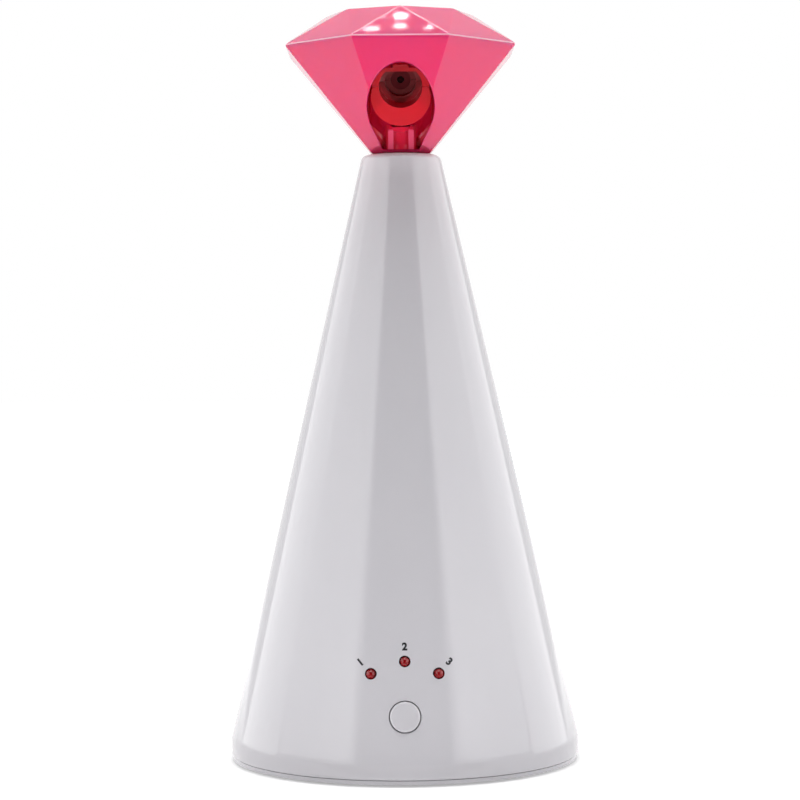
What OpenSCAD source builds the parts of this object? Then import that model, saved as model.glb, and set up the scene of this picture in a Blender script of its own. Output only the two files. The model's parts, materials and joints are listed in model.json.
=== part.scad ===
// Automatic cat laser toy: a white cone that turns a pink faceted head with a laser inside.
// Millimetres. +Z is up, the front (button, lamps, window) faces -Y, and the origin is the
// centre of the foot on the surface that the toy stands on.

/* [Cone housing] */
// Outside diameter of the cone at its foot
base_d = 114; // [108:0.5:124]
// Height of the upright band at the foot of the cone
band_h = 5.2; // [3:0.1:8]
// Height of the cone's flat top above the floor
cone_h = 198; // [188:1:212]
// Outside diameter that the cone's side would reach at its flat top
cone_top_d = 25.6; // [25:0.2:30]
// Radius of the rolled edge round the cone's top
top_round = 2.4; // [1:0.1:3]
// Thickness of the cone's wall
wall = 2.2; // [1.8:0.1:2.8]
// Thickness of the plate that closes the cone's top round the bearing
top_plate = 3; // [2:0.1:4]
// Radius of the screw posts inside the housing
post_r = 3.2; // [2.8:0.1:3.8]

/* [Foot] */
// How far the rubber feet hold the housing off the floor
foot_gap = 0.8; // [0.4:0.1:2]
// Thickness of the rim of the base cover that shows under the cone
rim_t = 1.2; // [0.8:0.1:2]
// Thickness of the base cover's floor
cover_t = 2.6; // [2.2:0.1:4]
// Height of the spigot that centres the base cover in the cone
spigot_h = 4; // [2.5:0.5:5]
// Radius of the circle that the feet and the cover screws sit on
foot_circle = 46; // [44:0.5:47]
// Radius of a rubber foot
foot_r = 4.5; // [3:0.1:5.5]
// Depth of the pocket that a rubber foot is glued in
foot_pocket = 1.2; // [0.8:0.1:1.4]
// Depth that the cover screws' heads are sunk
screw_sink = 1.2; // [1.1:0.05:1.4]

/* [Batteries] */
// Diameter of one cell
cell_d = 14.5; // [10.5:0.1:14.5]
// Length of one cell's body
cell_l = 49.5; // [44:0.1:50]
// Number of cells side by side
cell_count = 3; // [2:1:3]
// Thickness of the battery bay's walls
bay_wall = 1.6; // [1.2:0.1:2]
// Length of a relaxed contact spring in the bay
cell_spring = 4.4; // [3:0.1:5]
// Thickness of the battery door
door_t = 1.8; // [1.4:0.1:2]

/* [Controls] */
// Height of the button's centre above the floor
button_z = 21.3; // [19:0.1:26]
// Diameter of the button hole
button_hole_d = 10; // [8:0.1:11]
// Gap round the button in its hole
button_gap = 0.3; // [0.2:0.05:0.5]
// How far the button stands out of the cone
button_proud = 0.9; // [0.7:0.1:1.5]
// How far the button travels when it is pressed
button_travel = 0.6; // [0.3:0.1:0.6]
// Radius of the arc that the lamps sit on, about the button
lamp_arc_r = 17.1; // [14:0.1:18]
// Angle between neighbouring lamps on that arc
lamp_step = 38; // [30:1:42]
// Diameter of a lamp's lens
lamp_d = 3; // [2.4:0.1:3.4]
// Depth of the circuit board under the cone's surface at the button
board_depth = 9.6; // [9:0.1:10.5]
// Thickness of the circuit board
board_t = 1.6; // [1:0.1:2]
// Width of the circuit board
board_w = 41; // [38:1:43]

/* [Head] */
// Width of the head across opposite flats of its girdle
head_w = 73.8; // [68:0.2:78]
// Width of the head's neck across opposite flats
neck_w = 19; // [18.6:0.2:20]
// Angle of the lower facets from upright
facet_angle = 39.1; // [36:0.2:42]
// Height of the crown from the girdle to the flat table
crown_h = 10.9; // [8:0.1:14]
// Distance between opposite corners of the table
table_w = 47.8; // [40:0.2:54]
// Height of the upright edge on each side of the girdle seam
girdle_edge = 0.4; // [0.3:0.1:1]
// Wall of the head's two shells, measured through the facet
head_wall = 2; // [1.6:0.1:2.2]
// Gap between the head and the top of the cone
neck_gap = 0.3; // [0.2:0.1:0.6]
// Thickness of the head's floor at the neck
head_floor = 1; // [0.8:0.1:1.5]

/* [Window] */
// Widest width of the window in the front facet
window_w = 21.8; // [20.5:0.1:23]
// Height of the window's widest level above the neck
window_rise = 14; // [13:0.1:16]
// Height of the window's arch above its widest level
window_arch = 12.7; // [12:0.1:15]
// Share by which the arch's top is narrower than an ellipse, as on an egg
window_egg = 0.06; // [0:0.01:0.12]
// How quickly the window turns in under its widest level
window_under = 12.2; // [11:0.1:13]
// Width of the window at its lower end
window_foot_w = 11.8; // [11:0.1:12.6]

/* [Laser] */
// Outside radius of the laser barrel
barrel_r = 9.6; // [9.2:0.1:9.8]
// Length of the laser barrel
barrel_l = 25; // [22:0.5:27]
// Distance from the barrel's mouth back to its pivot
pivot_back = 13; // [11:0.5:15]
// Distance from the head's axis forward to the centre of the barrel's mouth
barrel_front = 16; // [15:0.1:16.5]
// Height of the centre of the barrel's mouth above the neck
barrel_rise = 17.1; // [16.5:0.1:19]
// How far the barrel points down at rest
barrel_pitch = 22; // [18:1:25]
// Radius of the dark tunnel in the barrel
tunnel_r = 7; // [6:0.1:7.2]
// Depth of that tunnel
tunnel_l = 6.5; // [6:0.5:11]
// Height of the tunnel's centre above the barrel's centre
tunnel_rise = 3.4; // [3:0.1:3.8]
// Radius of the laser module
module_r = 3.25; // [2.8:0.05:3.5]
// Length of the laser module
module_l = 16; // [12:0.5:18]
// Radius of the trunnion pins that carry the barrel
trunnion_r = 1.6; // [1.2:0.1:2]

/* [Bearing] */
// Radius of the head's journal in the neck
journal_r = 7; // [6.6:0.05:7.2]
// Wall of the neck bush
bush_wall = 1.9; // [1.5:0.1:2]
// Length of the neck bush
bush_l = 10; // [8:0.5:14]
// Running clearance of a journal, all round
run_gap = 0.05; // [0.03:0.01:0.08]
// Clearance of parts that are pushed or glued together, all round
seat_gap = 0.02; // [0.01:0.01:0.05]
// Radius of the shaft that turns the head
shaft_r = 3; // [2.6:0.1:3.2]

/* [Gears] */
// Module of the gear teeth
gear_module = 0.5; // [0.45:0.01:0.52]
// Teeth of every small gear
small_teeth = 10; // [10:1:12]
// Teeth of the large wheels of the two compound gears
large_teeth = 40; // [36:1:40]
// Teeth of the wheel on the head's shaft
output_teeth = 50; // [44:1:50]
// Face width of a wheel
face_w = 3.6; // [3:0.1:4]
// Step from one gear level to the next
level_step = 4.6; // [4.2:0.1:5]
// Distance of the first compound gear's pin from the shaft
first_pin_r = 14.5; // [14.3:0.1:15]
// Distance of the motor's axis from the shaft
motor_offset = 9; // [7:0.1:10]
// Radius of the gear pins
pin_r = 1; // [0.8:0.05:1.1]
// Thickness of the gearbox's plates and wall
case_t = 2; // [1.6:0.1:2.4]
// Radius of the motor's can
motor_r = 10.2; // [9:0.1:10.4]
// Length of the motor's can
motor_l = 20; // [16:0.5:24]

/* [Hidden] */

// A little more than nothing, so that cuts run past the faces they open
bit = 0.01;
smooth = 96;

// Screws: [shank radius, head radius, head height, pilot hole radius, clearance hole radius]
case_screw = [1.08, 2.5, 1, 1.1, 1.5];
gear_screw = [1.08, 2.4, 1.2, 1.1, 1.4];
board_screw = [0.88, 2, 1, 0.9, 1.1];
yoke_screw = [0.88, 1.8, 1, 0.9, 1.1];
door_screw_size = [0.85, 2.2, 0.7, 0.9, 1.4];
motor_screw = [0.92, 1.7, 0.5, 0.95, 1.1];

white = "#E9E7EC";
pink = "#EE6A92";
crimson = "#C8143A";
steel = "#B8BCC2";
brass = "#C9A24B";
black = "#232326";
nylon = "#F3EFE2";

// --- Cone -------------------------------------------------------------------------------
base_r = base_d / 2;
shell_z = foot_gap + rim_t + 0.15;
band_top = shell_z + band_h;
cone_slope = (base_r - cone_top_d / 2) / (cone_h - band_top);
cone_angle = atan(cone_slope);
wall_across = wall / cos(cone_angle);
function cone_r(z) = base_r - (z - band_top) * cone_slope;
function inner_r(z) = cone_r(z) - wall_across;
function height_where_inner(r) = band_top + (base_r - wall_across - r) / cone_slope;

// Points of a round of radius r about [x, z], from angle a to angle b
function arc(x, z, r, a, b, n) =
    [for (i = [0:n]) let (t = a + (b - a) * i / n) [x + r * cos(t), z + r * sin(t)]];

// --- Control panel, in a frame at the button's centre with +Z out of the cone -------------
button_r = button_hole_d / 2 - button_gap;
flange_r = button_hole_d / 2 + 1.2;
flange_top = -wall - flange_r * flange_r / (2 * cone_r(button_z)) - 0.35;
flange_t = 1;
// The boss under the button's flange rests on the plunger
boss_r = 1.4;
boss_h = 0.6;
button_low = flange_top - flange_t - boss_h;
plunger_r = 1.7;
switch_h = 3.4;
switch_w = 6;
switch_top = -board_depth + switch_h;
// The plunger's foot stands this deep in the switch, with the travel and a little more under it
plunger_sink = 1.6;
bore_depth = plunger_sink + button_travel + 0.2;
lamp_hole_r = lamp_d / 2 + 0.3;
lamp_angles = [-lamp_step, 0, lamp_step];
board_post_r = 2.6;
// Length of the cuts that make the panel's holes, half of it inside the cone
panel_cut = 14;
board_low = -9.5;
board_high = lamp_arc_r + 7;
board_posts = [for (x = [-1, 1], y = [board_low + 4, board_high - 3.5]) [x * (board_w / 2 - 3.5), y]];
function lamp_at(a) = [lamp_arc_r * sin(a), lamp_arc_r * cos(a)];
// How far the round cone falls away under a flat touching it at the panel's middle line
function fall_away(x, y) =
    let (r = cone_r(button_z + y * cos(cone_angle))) (r - sqrt(r * r - x * x)) * cos(cone_angle);

// --- Foot and battery bay ---------------------------------------------------------------
cover_r = base_r - wall - 0.25;
rim_inset = 0.5;
spigot_t = 1.6;
cover_top = foot_gap + cover_t;
screw_angles = [30, 150, 210, 330];
foot_angles = [60, 120, 240, 300];
cell_pitch = cell_d + 0.7;
nub_l = 1;
nub_r = 2.7;
bay_l = cell_l + nub_l + cell_spring + 1;
bay_w = cell_pitch * (cell_count - 1) + cell_d + 0.8;
door_gap = 0.3;
door_ledge = 1.7;
door_l = bay_l + 2 * door_ledge;
door_w = bay_w + 2 * door_ledge;
door_top = foot_gap + door_t;
cell_z = door_top + 0.4 + cell_d / 2;
bay_top = cell_z + cell_d / 2 + 0.4;
door_pin_r = 1;
door_pin_l = 1.6;
door_pin_y = door_w / 2 - door_pin_r - 0.2;
door_pin_z = door_top - door_pin_r;
latch_y = -door_w / 2 - 3;
latch_w = 9;
latch_sink = 0.8;
// Room round a screw's head in its sink
sink_gap = 0.3;
// Width of a contact plate, its thickness, and the play that holds it in its slot
contact_w = 10;
contact_t = 0.5;
contact_play = 0.02;
spring_wire_r = 0.35;
spring_base_r = 4;
spring_tip_r = 2.6;
spring_turns = 3.5;

// --- Gear train -------------------------------------------------------------------------
pressure_angle = 25;
addendum = 0.8;
dedendum = 1.05;
// Each flank stands back this far, so that the teeth run free
flank_gap = 0.05;
function pitch_r(teeth) = teeth * gear_module / 2;
function tip_r(teeth) = pitch_r(teeth) + addendum * gear_module;
function corner_angle(a, b, c) = acos((a * a + b * b - c * c) / (2 * a * b));
function polar(r, a) = [r * cos(a), r * sin(a)];
second_pin_r = pitch_r(output_teeth) + pitch_r(small_teeth);
mesh_r = pitch_r(large_teeth) + pitch_r(small_teeth);
second_pin = polar(second_pin_r, 0);
first_dir = corner_angle(second_pin_r, first_pin_r, mesh_r);
first_pin = polar(first_pin_r, first_dir);
motor_dir = first_dir + corner_angle(first_pin_r, motor_offset, mesh_r);
motor_at = polar(motor_offset, motor_dir);
function bearing(a, b) = atan2(b[1] - a[1], b[0] - a[0]);
second_to_first = bearing(second_pin, first_pin);
first_to_motor = bearing(first_pin, motor_at);
case_inner_r = max(second_pin_r, first_pin_r) + tip_r(large_teeth) + 0.6;
case_r = case_inner_r + case_t;
case_top = height_where_inner(case_r + 0.8);
levels = 3;
case_floor = case_top - case_t - 0.5 - face_w - (levels - 1) * level_step - 0.6;
function level_z(k) = case_floor + 0.6 + (k - 1) * level_step;
case_screw_r = case_inner_r - 4.4;
case_screw_angles = [112, 205, 310];
flat_d = 0.5;
motor_flat = motor_r * 0.75;
nose_r = 3;
nose_l = 1.4;
motor_top = case_floor - case_t;
motor_screw_r = 5.6;
rotor_r = 1.05;
rotor_low = motor_top - motor_l - 5.2;

// --- Turning contact ---------------------------------------------------------------------
drum_r = 6;
band_r = drum_r + 0.6;
drum_z = case_top + 1.2;
band_w = 2.6;
band_step = 4.4;
drum_h = 2 * band_step + 1.8;
leaf_t = 0.3;

// --- Head ---------------------------------------------------------------------------------
head_z = cone_h + neck_gap;
facet_slope = tan(facet_angle);
function facet_r(z) = neck_w / 2 + (z - head_z) * facet_slope;
seam_z = head_z + (head_w - neck_w) / 2 / facet_slope + girdle_edge;
table_z = seam_z + girdle_edge + crown_h;
to_corner = 1 / cos(180 / 8);
facet_wall = head_wall / cos(facet_angle);
floor_z = head_z + head_floor;
// The crown's lip, the height at which its hollow starts to close, and the table's inset inside
lip_h = 2.6;
lip_gap = 0.15;
lip_t = 1.2;
hollow_rise = 1.2;
table_inset = 2.7;
bush_r = journal_r + run_gap + bush_wall;
bush_flange_t = 1.5;
bush_top = cone_h - 0.2;
bush_z = bush_top - bush_l;
flange_z = cone_h - top_plate;
clip_t = 0.8;
clip_z = bush_z - 0.4 - clip_t;
groove_r = journal_r - 0.8;
stem_z = clip_z - 1.6;
socket_l = 11;
// Bore for the laser's wires, and the yoke: its plate, its screws and the post under the barrel
wire_way_r = 1.6;
plate_t = 1.6;
yoke_screw_x = 5;
post_rise = 9;
post_w = window_foot_w - 1.8;
saddle_r = 7.6;
saddle_h = 1.8;
saddle_drop = 0.6;

// --- Laser --------------------------------------------------------------------------------
mouth_z = head_z + barrel_rise;
pivot = [0, -barrel_front + pivot_back * cos(barrel_pitch), mouth_z + pivot_back * sin(barrel_pitch)];
split_gap = 0.1;
arm_gap = 0.5;
arm_x = barrel_r + arm_gap;
arm_t = 2.2;
arm_w = 6.4;
shoulder_l = 2;
shoulder_r = module_r + 1.8;
// The tunnel has a flat top, under the hood's roof and the tab that stands on it
flat_rise = 0.72 * tunnel_r;
roof_t = 1.2;
tab_w = 5;
tab_h = 1;
module_y = -pivot_back + tunnel_l + shoulder_l;
module_wall = 0.85;
module_face = 0.8;
aperture_r = 1.2;

// =========================================================================================
// Shared shapes
// =========================================================================================

// Places its children in the control panel's frame
module on_panel() {
    translate([0, -cone_r(button_z), button_z]) rotate([90 - cone_angle, 0, 0]) children();
}

// Places its children in the barrel's frame: -Y runs out of the mouth, +Z is the barrel's top
module on_barrel() {
    translate(pivot) rotate([barrel_pitch, 0, 0]) children();
}

// Copies its children round the vertical axis
module around(angles, r) {
    for (a = angles) rotate([0, 0, a]) translate([r, 0, 0]) children();
}

// A screw with its head below z = 0 and its shank above, then the holes that it needs
module pan_screw(size, length) {
    cylinder(r = size[0], h = length, $fn = 32);
    translate([0, 0, -size[2]]) cylinder(r = size[1], h = size[2] + bit, $fn = 48);
}

module pilot_hole(size, z, h) {
    translate([0, 0, z]) cylinder(r = size[3], h = h, $fn = 32);
}

module clear_hole(size, z, h) {
    translate([0, 0, z]) cylinder(r = size[4], h = h, $fn = 32);
}

module cylinder_x(r, x0, x1) {
    translate([x0, 0, 0]) rotate([0, 90, 0]) cylinder(r = r, h = x1 - x0, $fn = 48);
}

module cylinder_y(r, y0, y1, facets = 64) {
    translate([0, y1, 0]) rotate([90, 0, 0]) cylinder(r = r, h = y1 - y0, $fn = facets);
}

// The space that the cone fills if it were solid, set in from the surface
module cone_space(inset) {
    rotate_extrude($fn = smooth)
        polygon([
            [0, shell_z], [base_r - inset, shell_z], [base_r - inset, band_top],
            [cone_r(cone_h) - inset, cone_h], [0, cone_h]
        ]);
}

// A post at radius r that hangs down to height z. A plane in the middle of the wall ends its top.
module wall_post(r, z) {
    difference() {
        translate([r, 0, z]) cylinder(r = post_r, h = cone_h - z, $fn = 48);
        translate([cone_r(z) - wall_across / 2, 0, z]) rotate([0, -cone_angle, 0])
            translate([0, -post_r - 1, -cone_h]) cube([cone_h, 2 * post_r + 2, 3 * cone_h]);
    }
}

// An eight-sided block with flats to the front, measured across its flats at both ends
module octagon_block(across_low, across_high, z0, z1) {
    translate([0, 0, z0]) rotate([0, 0, 22.5])
        cylinder(r1 = across_low / 2 * to_corner, r2 = across_high / 2 * to_corner, h = z1 - z0, $fn = 8);
}

function octagon_points(corner, turn, z) = [for (i = [0:7]) concat(polar(corner, 45 * i + turn), z)];

// The crown's form: an upright octagon from z0 to z1, then sixteen triangles up to a table at z2
// that is turned by half a side
module crown_block(corner_low, corner_high, z0, z1, z2) {
    points = concat(
        octagon_points(corner_low, 22.5, z0), octagon_points(corner_low, 22.5, z1),
        octagon_points(corner_high, 0, z2)
    );
    sides = [for (i = [0:7]) [i, 8 + i, 8 + (i + 1) % 8, (i + 1) % 8]];
    down_facets = [for (i = [0:7]) [8 + i, 16 + (i + 1) % 8, 8 + (i + 1) % 8]];
    up_facets = [for (i = [0:7]) [8 + i, 16 + i, 16 + (i + 1) % 8]];
    ends = [[for (i = [0:7]) i], [for (i = [7:-1:0]) 16 + i]];
    polyhedron(points = points, faces = concat(ends, sides, down_facets, up_facets));
}

// --- Gear teeth ---------------------------------------------------------------------------
function involute(a) = tan(a) - a * PI / 180;
// Half of a tooth's angle at radius r
function tooth_half(teeth, r) =
    let (base = pitch_r(teeth) * cos(pressure_angle))
    90 / teeth - flank_gap / pitch_r(teeth) * 180 / PI
    + (involute(pressure_angle) - involute(r > base ? acos(base / r) : 0)) * 180 / PI;
function gear_outline(teeth) =
    let (root = pitch_r(teeth) - dedendum * gear_module)
    let (start = max(root + 0.05, pitch_r(teeth) * cos(pressure_angle)))
    let (tip = tip_r(teeth))
    let (radii = [root, start, (start + tip) / 2, tip])
    [for (i = [0:teeth - 1], s = [-1, 1], k = [0:3])
        let (r = radii[s < 0 ? k : 3 - k]) polar(r, 360 * i / teeth + s * tooth_half(teeth, r))];

// A toothed wheel with one tooth pointing to angle a
module wheel(teeth, a, z, h) {
    translate([0, 0, z]) rotate([0, 0, a]) linear_extrude(height = h) polygon(gear_outline(teeth));
}

// A round bar with a flat on its +X side
module flatted_bar(r, z, h) {
    difference() {
        translate([0, 0, z]) cylinder(r = r, h = h, $fn = 64);
        translate([shaft_r - flat_d + (r - shaft_r), -r - 1, z - 1]) cube([r, 2 * r + 2, h + 2]);
    }
}

// =========================================================================================
// Housing
// =========================================================================================

module cone_section() {
    round_z = cone_h - top_round;
    round_x = cone_r(round_z) - top_round / cos(cone_angle);
    outside = concat(
        arc(base_r - 0.6, shell_z + 0.6, 0.6, -90, 0, 4),
        [[base_r, band_top]],
        arc(round_x, round_z, top_round, cone_angle, 90, 8)
    );
    inside = [
        [bush_r + seat_gap, cone_h], [bush_r + seat_gap, flange_z], [inner_r(flange_z), flange_z],
        [inner_r(band_top), band_top], [base_r - wall, band_top - 0.4], [base_r - wall, shell_z]
    ];
    polygon(concat(outside, inside));
}

module cone_shell() {
    color(white) difference() {
        union() {
            rotate_extrude($fn = 144) cone_section();
            for (a = screw_angles) rotate([0, 0, a]) wall_post(foot_circle, cover_top + seat_gap);
            for (a = case_screw_angles) rotate([0, 0, a]) wall_post(case_screw_r, case_top + seat_gap);
            intersection() {
                on_panel() for (p = board_posts)
                    translate([p[0], p[1], -board_depth + seat_gap])
                        cylinder(r = board_post_r, h = board_depth, $fn = 40);
                cone_space(wall_across * 0.5);
            }
        }
        around(screw_angles, foot_circle) pilot_hole(case_screw, cover_top - 1, 10);
        around(case_screw_angles, case_screw_r) pilot_hole(gear_screw, case_top - 1, 9);
        on_panel() {
            for (p = board_posts) translate(p) pilot_hole(board_screw, -board_depth - 1, 5);
            translate([0, 0, -panel_cut / 2]) cylinder(r = button_hole_d / 2, h = panel_cut, $fn = 72);
            for (a = lamp_angles) translate(lamp_at(a)) translate([0, 0, -panel_cut / 2])
                cylinder(r = lamp_hole_r, h = panel_cut, $fn = 48);
        }
    }
}

module base_cover() {
    color(white) difference() {
        union() {
            translate([0, 0, foot_gap]) cylinder(r = base_r - rim_inset, h = rim_t, $fn = 144);
            translate([0, 0, foot_gap]) cylinder(r = cover_r, h = cover_t, $fn = 144);
            difference() {
                translate([0, 0, cover_top - bit]) cylinder(r = cover_r, h = spigot_h, $fn = 144);
                translate([0, 0, cover_top - 1])
                    cylinder(r = cover_r - spigot_t, h = spigot_h + 2, $fn = 144);
            }
            translate([-bay_l / 2 - bay_wall, -bay_w / 2 - bay_wall, foot_gap])
                cube([bay_l + 2 * bay_wall, bay_w + 2 * bay_wall, bay_top + bay_wall - foot_gap]);
        }
        // The bay itself, the door's recess in the floor, and the notch for the door's tongue
        translate([-bay_l / 2, -bay_w / 2, -1]) cube([bay_l, bay_w, bay_top + 1]);
        translate([-door_l / 2 - door_gap, -door_w / 2 - door_gap, -1])
            cube([door_l + 2 * door_gap, door_w + 2 * door_gap, door_top + door_gap + 1]);
        translate([-latch_w / 2 - door_gap, latch_y - latch_w / 2 - door_gap, -1])
            cube([latch_w + 2 * door_gap, latch_w, door_top + door_gap + 1]);
        translate([0, door_pin_y, door_pin_z])
            cylinder_x(door_pin_r + run_gap, -door_l / 2 - 2, door_l / 2 + 2);
        around(foot_angles, foot_circle) translate([0, 0, foot_gap - 1])
            cylinder(r = foot_r + seat_gap, h = foot_pocket + 1, $fn = 48);
        around(screw_angles, foot_circle) {
            clear_hole(case_screw, -1, 8);
            translate([0, 0, -1])
                cylinder(r = case_screw[1] + sink_gap, h = foot_gap + screw_sink + 1, $fn = 48);
        }
        translate([0, latch_y, 0]) pilot_hole(door_screw_size, -1, 9);
    }
}

module rubber_feet() {
    color(black) around(foot_angles, foot_circle) rotate_extrude($fn = 48)
        polygon(concat([[0, 0]], arc(foot_r - 0.4, 0.4, 0.4, -90, 0, 4),
            [[foot_r, foot_gap + foot_pocket], [0, foot_gap + foot_pocket]]));
}

module base_screws() {
    color(steel) around(screw_angles, foot_circle)
        translate([0, 0, foot_gap + screw_sink - seat_gap]) pan_screw(case_screw, 9);
}

function cell_y(i) = (i - (cell_count - 1) / 2) * cell_pitch;
// Cells sit hard against the plate at their nub end
cell_shift = bay_l / 2 - contact_t - nub_l - cell_l / 2;

// Places its children at each cell's axis, with every other one turned end for end
module at_cells() {
    for (i = [0:cell_count - 1]) translate([0, cell_y(i), cell_z])
        rotate([0, 0, i % 2 == 0 ? 0 : 180]) children();
}

module battery_cells() {
    color("#4C7A5A") at_cells() translate([cell_shift, 0, 0]) {
        cylinder_x(cell_d / 2, -cell_l / 2, cell_l / 2);
        cylinder_x(nub_r, cell_l / 2 - bit, cell_l / 2 + nub_l);
    }
}

module contact_plate(x) {
    translate([x, -contact_w / 2, -contact_w / 2]) cube([contact_t - contact_play, contact_w, contact_w]);
}

module battery_plates() {
    color(steel) at_cells() contact_plate(bay_l / 2 - contact_t);
}

// A round wire that winds along +X on a cone: its centre is [x, r cos t, r sin t] with r, x and t
// growing together, and each of its rings lies in the plane of X and the radius
module coil(r0, r1, x0, x1, turns, wire_r) {
    steps = round(turns * 20);
    sides = 6;
    rings = [for (i = [0:steps]) let (u = i / steps, t = 360 * turns * u, r = r0 + (r1 - r0) * u)
        [for (k = [0:sides - 1]) let (across = r + wire_r * cos(360 * k / sides))
            [x0 + (x1 - x0) * u + wire_r * sin(360 * k / sides), across * cos(t), across * sin(t)]]];
    function at(i, k) = i * sides + k % sides;
    walls = [for (i = [0:steps - 1], k = [0:sides - 1])
        each [[at(i, k), at(i, k + 1), at(i + 1, k + 1)], [at(i, k), at(i + 1, k + 1), at(i + 1, k)]]];
    ends = [[for (k = [sides - 1:-1:0]) k], [for (k = [0:sides - 1]) at(steps, k)]];
    polyhedron(points = [for (ring = rings) each ring], faces = concat(walls, ends));
}

module battery_springs() {
    plate_x = -bay_l / 2 + contact_play;
    tip_x = cell_shift - cell_l / 2 - contact_play - spring_wire_r;
    color(steel) at_cells() {
        contact_plate(plate_x);
        coil(spring_base_r, spring_tip_r, plate_x + contact_t, tip_x, spring_turns, spring_wire_r);
    }
}

module battery_door() {
    color(white) difference() {
        union() {
            translate([-door_l / 2, -door_w / 2, foot_gap])
                cube([door_l, door_w - 2 * door_pin_r, door_t]);
            translate([0, door_pin_y, door_pin_z])
                cylinder_x(door_pin_r, -door_l / 2 - door_pin_l, door_l / 2 + door_pin_l);
            translate([-door_l / 2, door_pin_y - 2, foot_gap]) cube([door_l, 2, door_t]);
            translate([-latch_w / 2, latch_y - latch_w / 2 + door_gap, foot_gap])
                cube([latch_w, latch_w, door_t]);
        }
        translate([0, latch_y, -1]) {
            clear_hole(door_screw_size, 0, 8);
            cylinder(r = door_screw_size[1] + sink_gap + 0.1, h = foot_gap + latch_sink + 1, $fn = 48);
        }
    }
}

module door_screw() {
    color(steel) translate([0, latch_y, foot_gap + latch_sink - seat_gap]) pan_screw(door_screw_size, 4.5);
}

module neck_bush() {
    color(nylon) difference() {
        union() {
            translate([0, 0, bush_z]) cylinder(r = bush_r, h = bush_l, $fn = 96);
            translate([0, 0, flange_z - bush_flange_t])
                cylinder(r = bush_r + 1.4, h = bush_flange_t - seat_gap, $fn = 96);
        }
        translate([0, 0, bush_z - 1]) cylinder(r = journal_r + run_gap, h = bush_l + 2, $fn = 96);
    }
}

// =========================================================================================
// Controls
// =========================================================================================

module control_board() {
    color("#2F6B45") on_panel() difference() {
        translate([-board_w / 2, board_low, -board_depth - board_t])
            cube([board_w, board_high - board_low, board_t]);
        for (p = board_posts) translate(p) clear_hole(board_screw, -board_depth - board_t - 1, board_t + 2);
    }
}

module board_screws() {
    color(steel) on_panel() for (p = board_posts)
        translate([p[0], p[1], -board_depth - board_t - seat_gap]) pan_screw(board_screw, 5);
}

module mode_switch() {
    color(black) on_panel() difference() {
        translate([-switch_w / 2, -switch_w / 2, -board_depth + seat_gap])
            cube([switch_w, switch_w, switch_h]);
        translate([0, 0, switch_top - bore_depth])
            cylinder(r = plunger_r + run_gap, h = bore_depth + 1, $fn = 40);
    }
}

module switch_plunger() {
    color(nylon) on_panel() translate([0, 0, switch_top - plunger_sink])
        cylinder(r = plunger_r, h = button_low - switch_top + plunger_sink, $fn = 40);
}

module button_cap() {
    edge = 0.55;
    color(white) on_panel() rotate_extrude($fn = 72)
        polygon(concat(
            [[0, button_low], [boss_r, button_low], [boss_r, flange_top - flange_t]],
            [[flange_r, flange_top - flange_t], [flange_r, flange_top], [button_r, flange_top]],
            arc(button_r - edge, button_proud - edge, edge, 0, 90, 6),
            [[button_r * 0.6, button_proud + 0.1], [0, button_proud + 0.15]]
        ));
}

module status_lamps() {
    dome_r = lamp_d / 2;
    color("#A31620") on_panel() for (a = lamp_angles)
        translate([lamp_at(a)[0], lamp_at(a)[1], -fall_away(lamp_at(a)[0], lamp_at(a)[1])]) {
            lens_low = -wall - 1.2;
            legs = board_depth - fall_away(lamp_at(a)[0], lamp_at(a)[1]) + lens_low;
            rotate_extrude($fn = 48)
                polygon(concat(
                    [[0, lens_low], [dome_r + 0.25, lens_low], [dome_r + 0.25, lens_low + 0.8]],
                    [[dome_r, lens_low + 0.8]],
                    arc(0, 0.6 - dome_r, dome_r, 0, 90, 8)
                ));
            for (x = [-0.85, 0.85]) translate([x, 0, lens_low - legs + seat_gap])
                cylinder(r = 0.28, h = legs + 0.1, $fn = 16);
        }
}

// =========================================================================================
// Motor and gearbox
// =========================================================================================

module gear_case() {
    wall_h = case_top - case_t - case_floor + case_t;
    color("#D8D8DC") difference() {
        union() {
            difference() {
                translate([0, 0, motor_top]) cylinder(r = case_r, h = wall_h, $fn = smooth);
                translate([0, 0, case_floor]) cylinder(r = case_inner_r, h = wall_h, $fn = smooth);
            }
            around(case_screw_angles, case_screw_r) translate([0, 0, motor_top])
                cylinder(r = post_r, h = wall_h, $fn = 48);
            for (p = [first_pin, second_pin]) translate([p[0], p[1], case_floor - bit])
                cylinder(r = pin_r + 1, h = 0.4, $fn = 40);
        }
        around(case_screw_angles, case_screw_r) clear_hole(gear_screw, motor_top - 1, wall_h + 2);
        for (p = [first_pin, second_pin]) translate([p[0], p[1], motor_top - 1])
            cylinder(r = pin_r + seat_gap, h = case_t + 3, $fn = 40);
        translate([0, 0, motor_top - 1]) cylinder(r = shaft_r / 2 + run_gap, h = case_t + 2, $fn = 40);
        translate([motor_at[0], motor_at[1], motor_top - 1])
            cylinder(r = nose_r + seat_gap, h = case_t + 3, $fn = 48);
        translate([motor_at[0], motor_at[1], 0]) around([motor_dir, motor_dir + 180], motor_screw_r)
            clear_hole(motor_screw, motor_top - 1, case_t + 3);
    }
}

module gear_cover() {
    color("#D8D8DC") difference() {
        translate([0, 0, case_top - case_t + seat_gap])
            cylinder(r = case_r, h = case_t - seat_gap, $fn = smooth);
        translate([0, 0, case_top - case_t - 1]) cylinder(r = shaft_r + run_gap, h = case_t + 2, $fn = 64);
        for (p = [first_pin, second_pin]) translate([p[0], p[1], case_top - case_t - 1])
            cylinder(r = pin_r + seat_gap, h = case_t + 2, $fn = 40);
        around(case_screw_angles, case_screw_r) clear_hole(gear_screw, case_top - case_t - 1, case_t + 2);
    }
}

module gear_pins() {
    color(steel) for (p = [first_pin, second_pin])
        translate([p[0], p[1], motor_top + 0.1])
            cylinder(r = pin_r, h = case_top - motor_top - 0.2, $fn = 40);
}

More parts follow.
